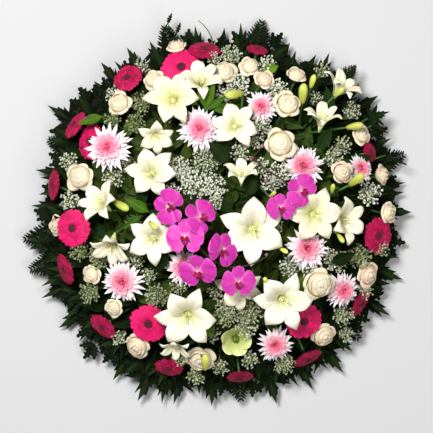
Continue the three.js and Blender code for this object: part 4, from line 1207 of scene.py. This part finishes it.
for number, (shape, bearing, rim) in enumerate(branches):
    rng = np.random.default_rng(RIM_SEED + number)
    stations = [polar(bearing, r, foam_top(r) + BRANCH_LIFT) for r in BRANCH_STATIONS]
    stalk(shape, [stations[0] + DOWN * (BRANCH_LIFT + STEM_DEPTH), stations[0]], STEM_RADIUS, 0.2)
    out = [*stations, polar(bearing, RIM_RADIUS, RIM_HEIGHT)]
    stalk(shape, out, np.linspace(STEM_RADIUS, BRANCH_TIP, len(out)), 0.2)
    along = [polar(a, RIM_RADIUS, RIM_HEIGHT) for a in np.linspace(rim[0][0], rim[-1][0], 9)]
    stalk(shape, along, BRANCH_TIP, 0.2)
    for at, reach, *frond in rim:
        for aside, turn, length, share, lift, form in RIM_CLUSTER:
            own = form == "own"
            tip = reach * MM_PER_PX * share * (1.015 if own else rng.uniform(0.98, 1.03))
            length *= rng.uniform(0.85, 1.15)
            if own and frond:
                length = FROND_LENGTH
            leaf_at = polar(at + aside, tip - length, RIM_HEIGHT + lift)
            foot = polar(at + aside, RIM_RADIUS - FOOT_INSET, RIM_HEIGHT + 0.4 * lift)
            rod(shape, bent(foot, leaf_at, 3, 4), RIM_LEAF_STEM, "stem", 0.1)
            sway = turn + rng.uniform(-10, 10) * (not own)
            heading = at + aside + sway
            matrix = turned(placed(leaf_at), heading, pitch=rng.uniform(-3, 6), roll=rng.uniform(-10, 10))
            tone = rng.uniform(0, 0.3)
            if own and frond:
                form = "fern"
            elif own:
                form = "lobed" if rng.uniform() < 0.75 else "ragged"
            leaf(form, shape, matrix, length, rng, tone)

# Leaves, twigs and sprigs in the gaps

rng = np.random.default_rng(GAP_SEED)
for x, y, lift, bearing, length, half, look, tone in PLACED_LEAVES:
    base = on_dome(x, y, lift)[0]
    holder = leaf_stem(base, 0.3)
    matrix = turned(placed(base), bearing, pitch=rng.uniform(0, 10), roll=rng.uniform(-20, 20))
    blade(holder, matrix, (10, 4), ovate(length, half, 8, 0.25), look, tone, thick=0.6)

bowl = on_dome(BOWL_X, BOWL_Y)[0]
for k in range(TWIGS):
    bearing = GOLDEN_TURN * k
    radius = TWIG_REACH * math.sqrt((k + 0.5) / TWIGS)
    start = polar(bearing, radius, foam_top(radius) + TWIG_FOOT)
    x = CENTRE_X + start[0] * TWIG_SPREAD / MM_PER_PX
    y = CENTRE_Y - start[1] * TWIG_SPREAD / MM_PER_PX
    crown = on_dome(x, y, CROWN_LIFT)[0]
    crown[2] = max(crown[2], foam_top(radius) + CROWN_CLEAR)
    if math.hypot(*(crown - bowl)[:2]) < BOWL_CLEAR:
        crown[2] -= BOWL_DROP
    # Twigs in the middle get the lighter leaves: partly their own green, partly painted light that lifts the
    # shade.
    look = "inner_leaf" if radius < INNER_RADIUS else "leaf"
    twig(branch_at(bearing % 360), start, crown, TWIG_LEAVES, TWIG_LEAF, rng, look)

for k in range(SIDE_LEAVES):
    bearing = GOLDEN_TURN * k
    height = SIDE_FOOT + SIDE_RISE * ((k * GOLDEN_SHARE) % 1)
    out = turned(np.eye(4), bearing)
    matrix = turned(out, 0, (TWIG_REACH, 0, height), pitch=rng.uniform(-4, 34), roll=rng.uniform(-35, 35))
    length = rng.uniform(*SIDE_LENGTHS)
    ovate_leaf(branch_at(bearing % 360), matrix, length, length * SIDE_WIDTH, rng, rng.uniform(0, 1))

for foot_x, foot_y, tip_x, tip_y, height, form in SPRIGS:
    foot = np.array([*from_pixels(foot_x, foot_y), height])
    tip = np.array([*from_pixels(tip_x, tip_y), height - SPRIG_FALL])
    holder = leaf_stem(foot, 0.1)
    matrix = turned(placed(foot), bearing_of(tip - foot), pitch=-8)
    if form in ("leafy", "bare"):
        path = bent(foot, tip, 7)
        path[:, 0] += 5 * np.sin(np.linspace(0, 3, len(path)))
        rod(holder, path, np.linspace(*SPRIG_STEM, len(path)), "stem", 0.1)
        if form == "leafy":
            for k in range(1, len(path)):
                side = matrix.copy()
                side[:3, 3] = path[k]
                spiny_leaf(holder, turned(side, 55 * (-1) ** k, pitch=6), rng.uniform(20, 30), 7, rng, 0.4)
    else:
        leaf(form, holder, matrix, np.linalg.norm(tip - foot), rng, 0.5 if form == "lobed" else 0.6)

for place, branch in enumerate(branches, 1):
    branch[0].piece("foliage", f"foliage_{place}")

for node in ("foam", "tray"):
    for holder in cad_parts[node].material_slots:
        holder.material = LOOKS[node]


# Floor, light and view. Lengths here are metres.

FLOOR_HALF, FLOOR_GREY, FLOOR_ROUGHNESS = 6, 0.45, 0.9
KEY_PLACE, KEY_SIZE, KEY_POWER = (-1.0, 1.2, 3.4), 1.2, 202
FILL_PLACE, FILL_SIZE, FILL_POWER = (1.8, -1.2, 3.4), 2.4, 75
WORLD_POWER = 0.18
CAMERA_PLACE, CAMERA_LENS, CAMERA_SENSOR, CAMERA_END = (-0.00345, -0.01035, 6.1), 217, 36, 20

floor_mesh = bpy.data.meshes.new("floor")
corners = [(x * FLOOR_HALF, y * FLOOR_HALF, 0) for x, y in ((-1, -1), (1, -1), (1, 1), (-1, 1))]
floor_mesh.from_pydata(corners, [], [(0, 1, 2, 3)])
floor = bpy.data.objects.new("floor", floor_mesh)
bpy.context.scene.collection.objects.link(floor)
paper = bpy.data.materials.new("paper")
paper.use_nodes = True
paper_inputs = paper.node_tree.nodes["Principled BSDF"].inputs
paper_inputs["Base Color"].default_value = (FLOOR_GREY, FLOOR_GREY, FLOOR_GREY, 1)
paper_inputs["Roughness"].default_value = FLOOR_ROUGHNESS
floor_mesh.materials.append(paper)


def area_light(name, place, size, power):
    """A round light that shines at the wreath's middle."""
    data = bpy.data.lights.new(name, "AREA")
    data.shape = "DISK"
    data.size = size
    data.energy = power
    light = bpy.data.objects.new(name, data)
    bpy.context.scene.collection.objects.link(light)
    light.matrix_world = Matrix(facing_matrix(place, unit(np.asarray(place, float))).tolist())


area_light("key", KEY_PLACE, KEY_SIZE, KEY_POWER)
area_light("fill", FILL_PLACE, FILL_SIZE, FILL_POWER)

world = bpy.data.worlds.new("studio")
world.use_nodes = True
world.node_tree.nodes["Background"].inputs[0].default_value = (1, 1, 1, 1)
world.node_tree.nodes["Background"].inputs[1].default_value = WORLD_POWER
bpy.context.scene.world = world

lens = bpy.data.cameras.new("camera")
lens.sensor_width = CAMERA_SENSOR
lens.lens = CAMERA_LENS
lens.clip_end = CAMERA_END
camera = bpy.data.objects.new("camera", lens)
camera.location = CAMERA_PLACE
bpy.context.scene.collection.objects.link(camera)
bpy.context.scene.camera = camera
bpy.context.scene.view_settings.view_transform = "Standard"
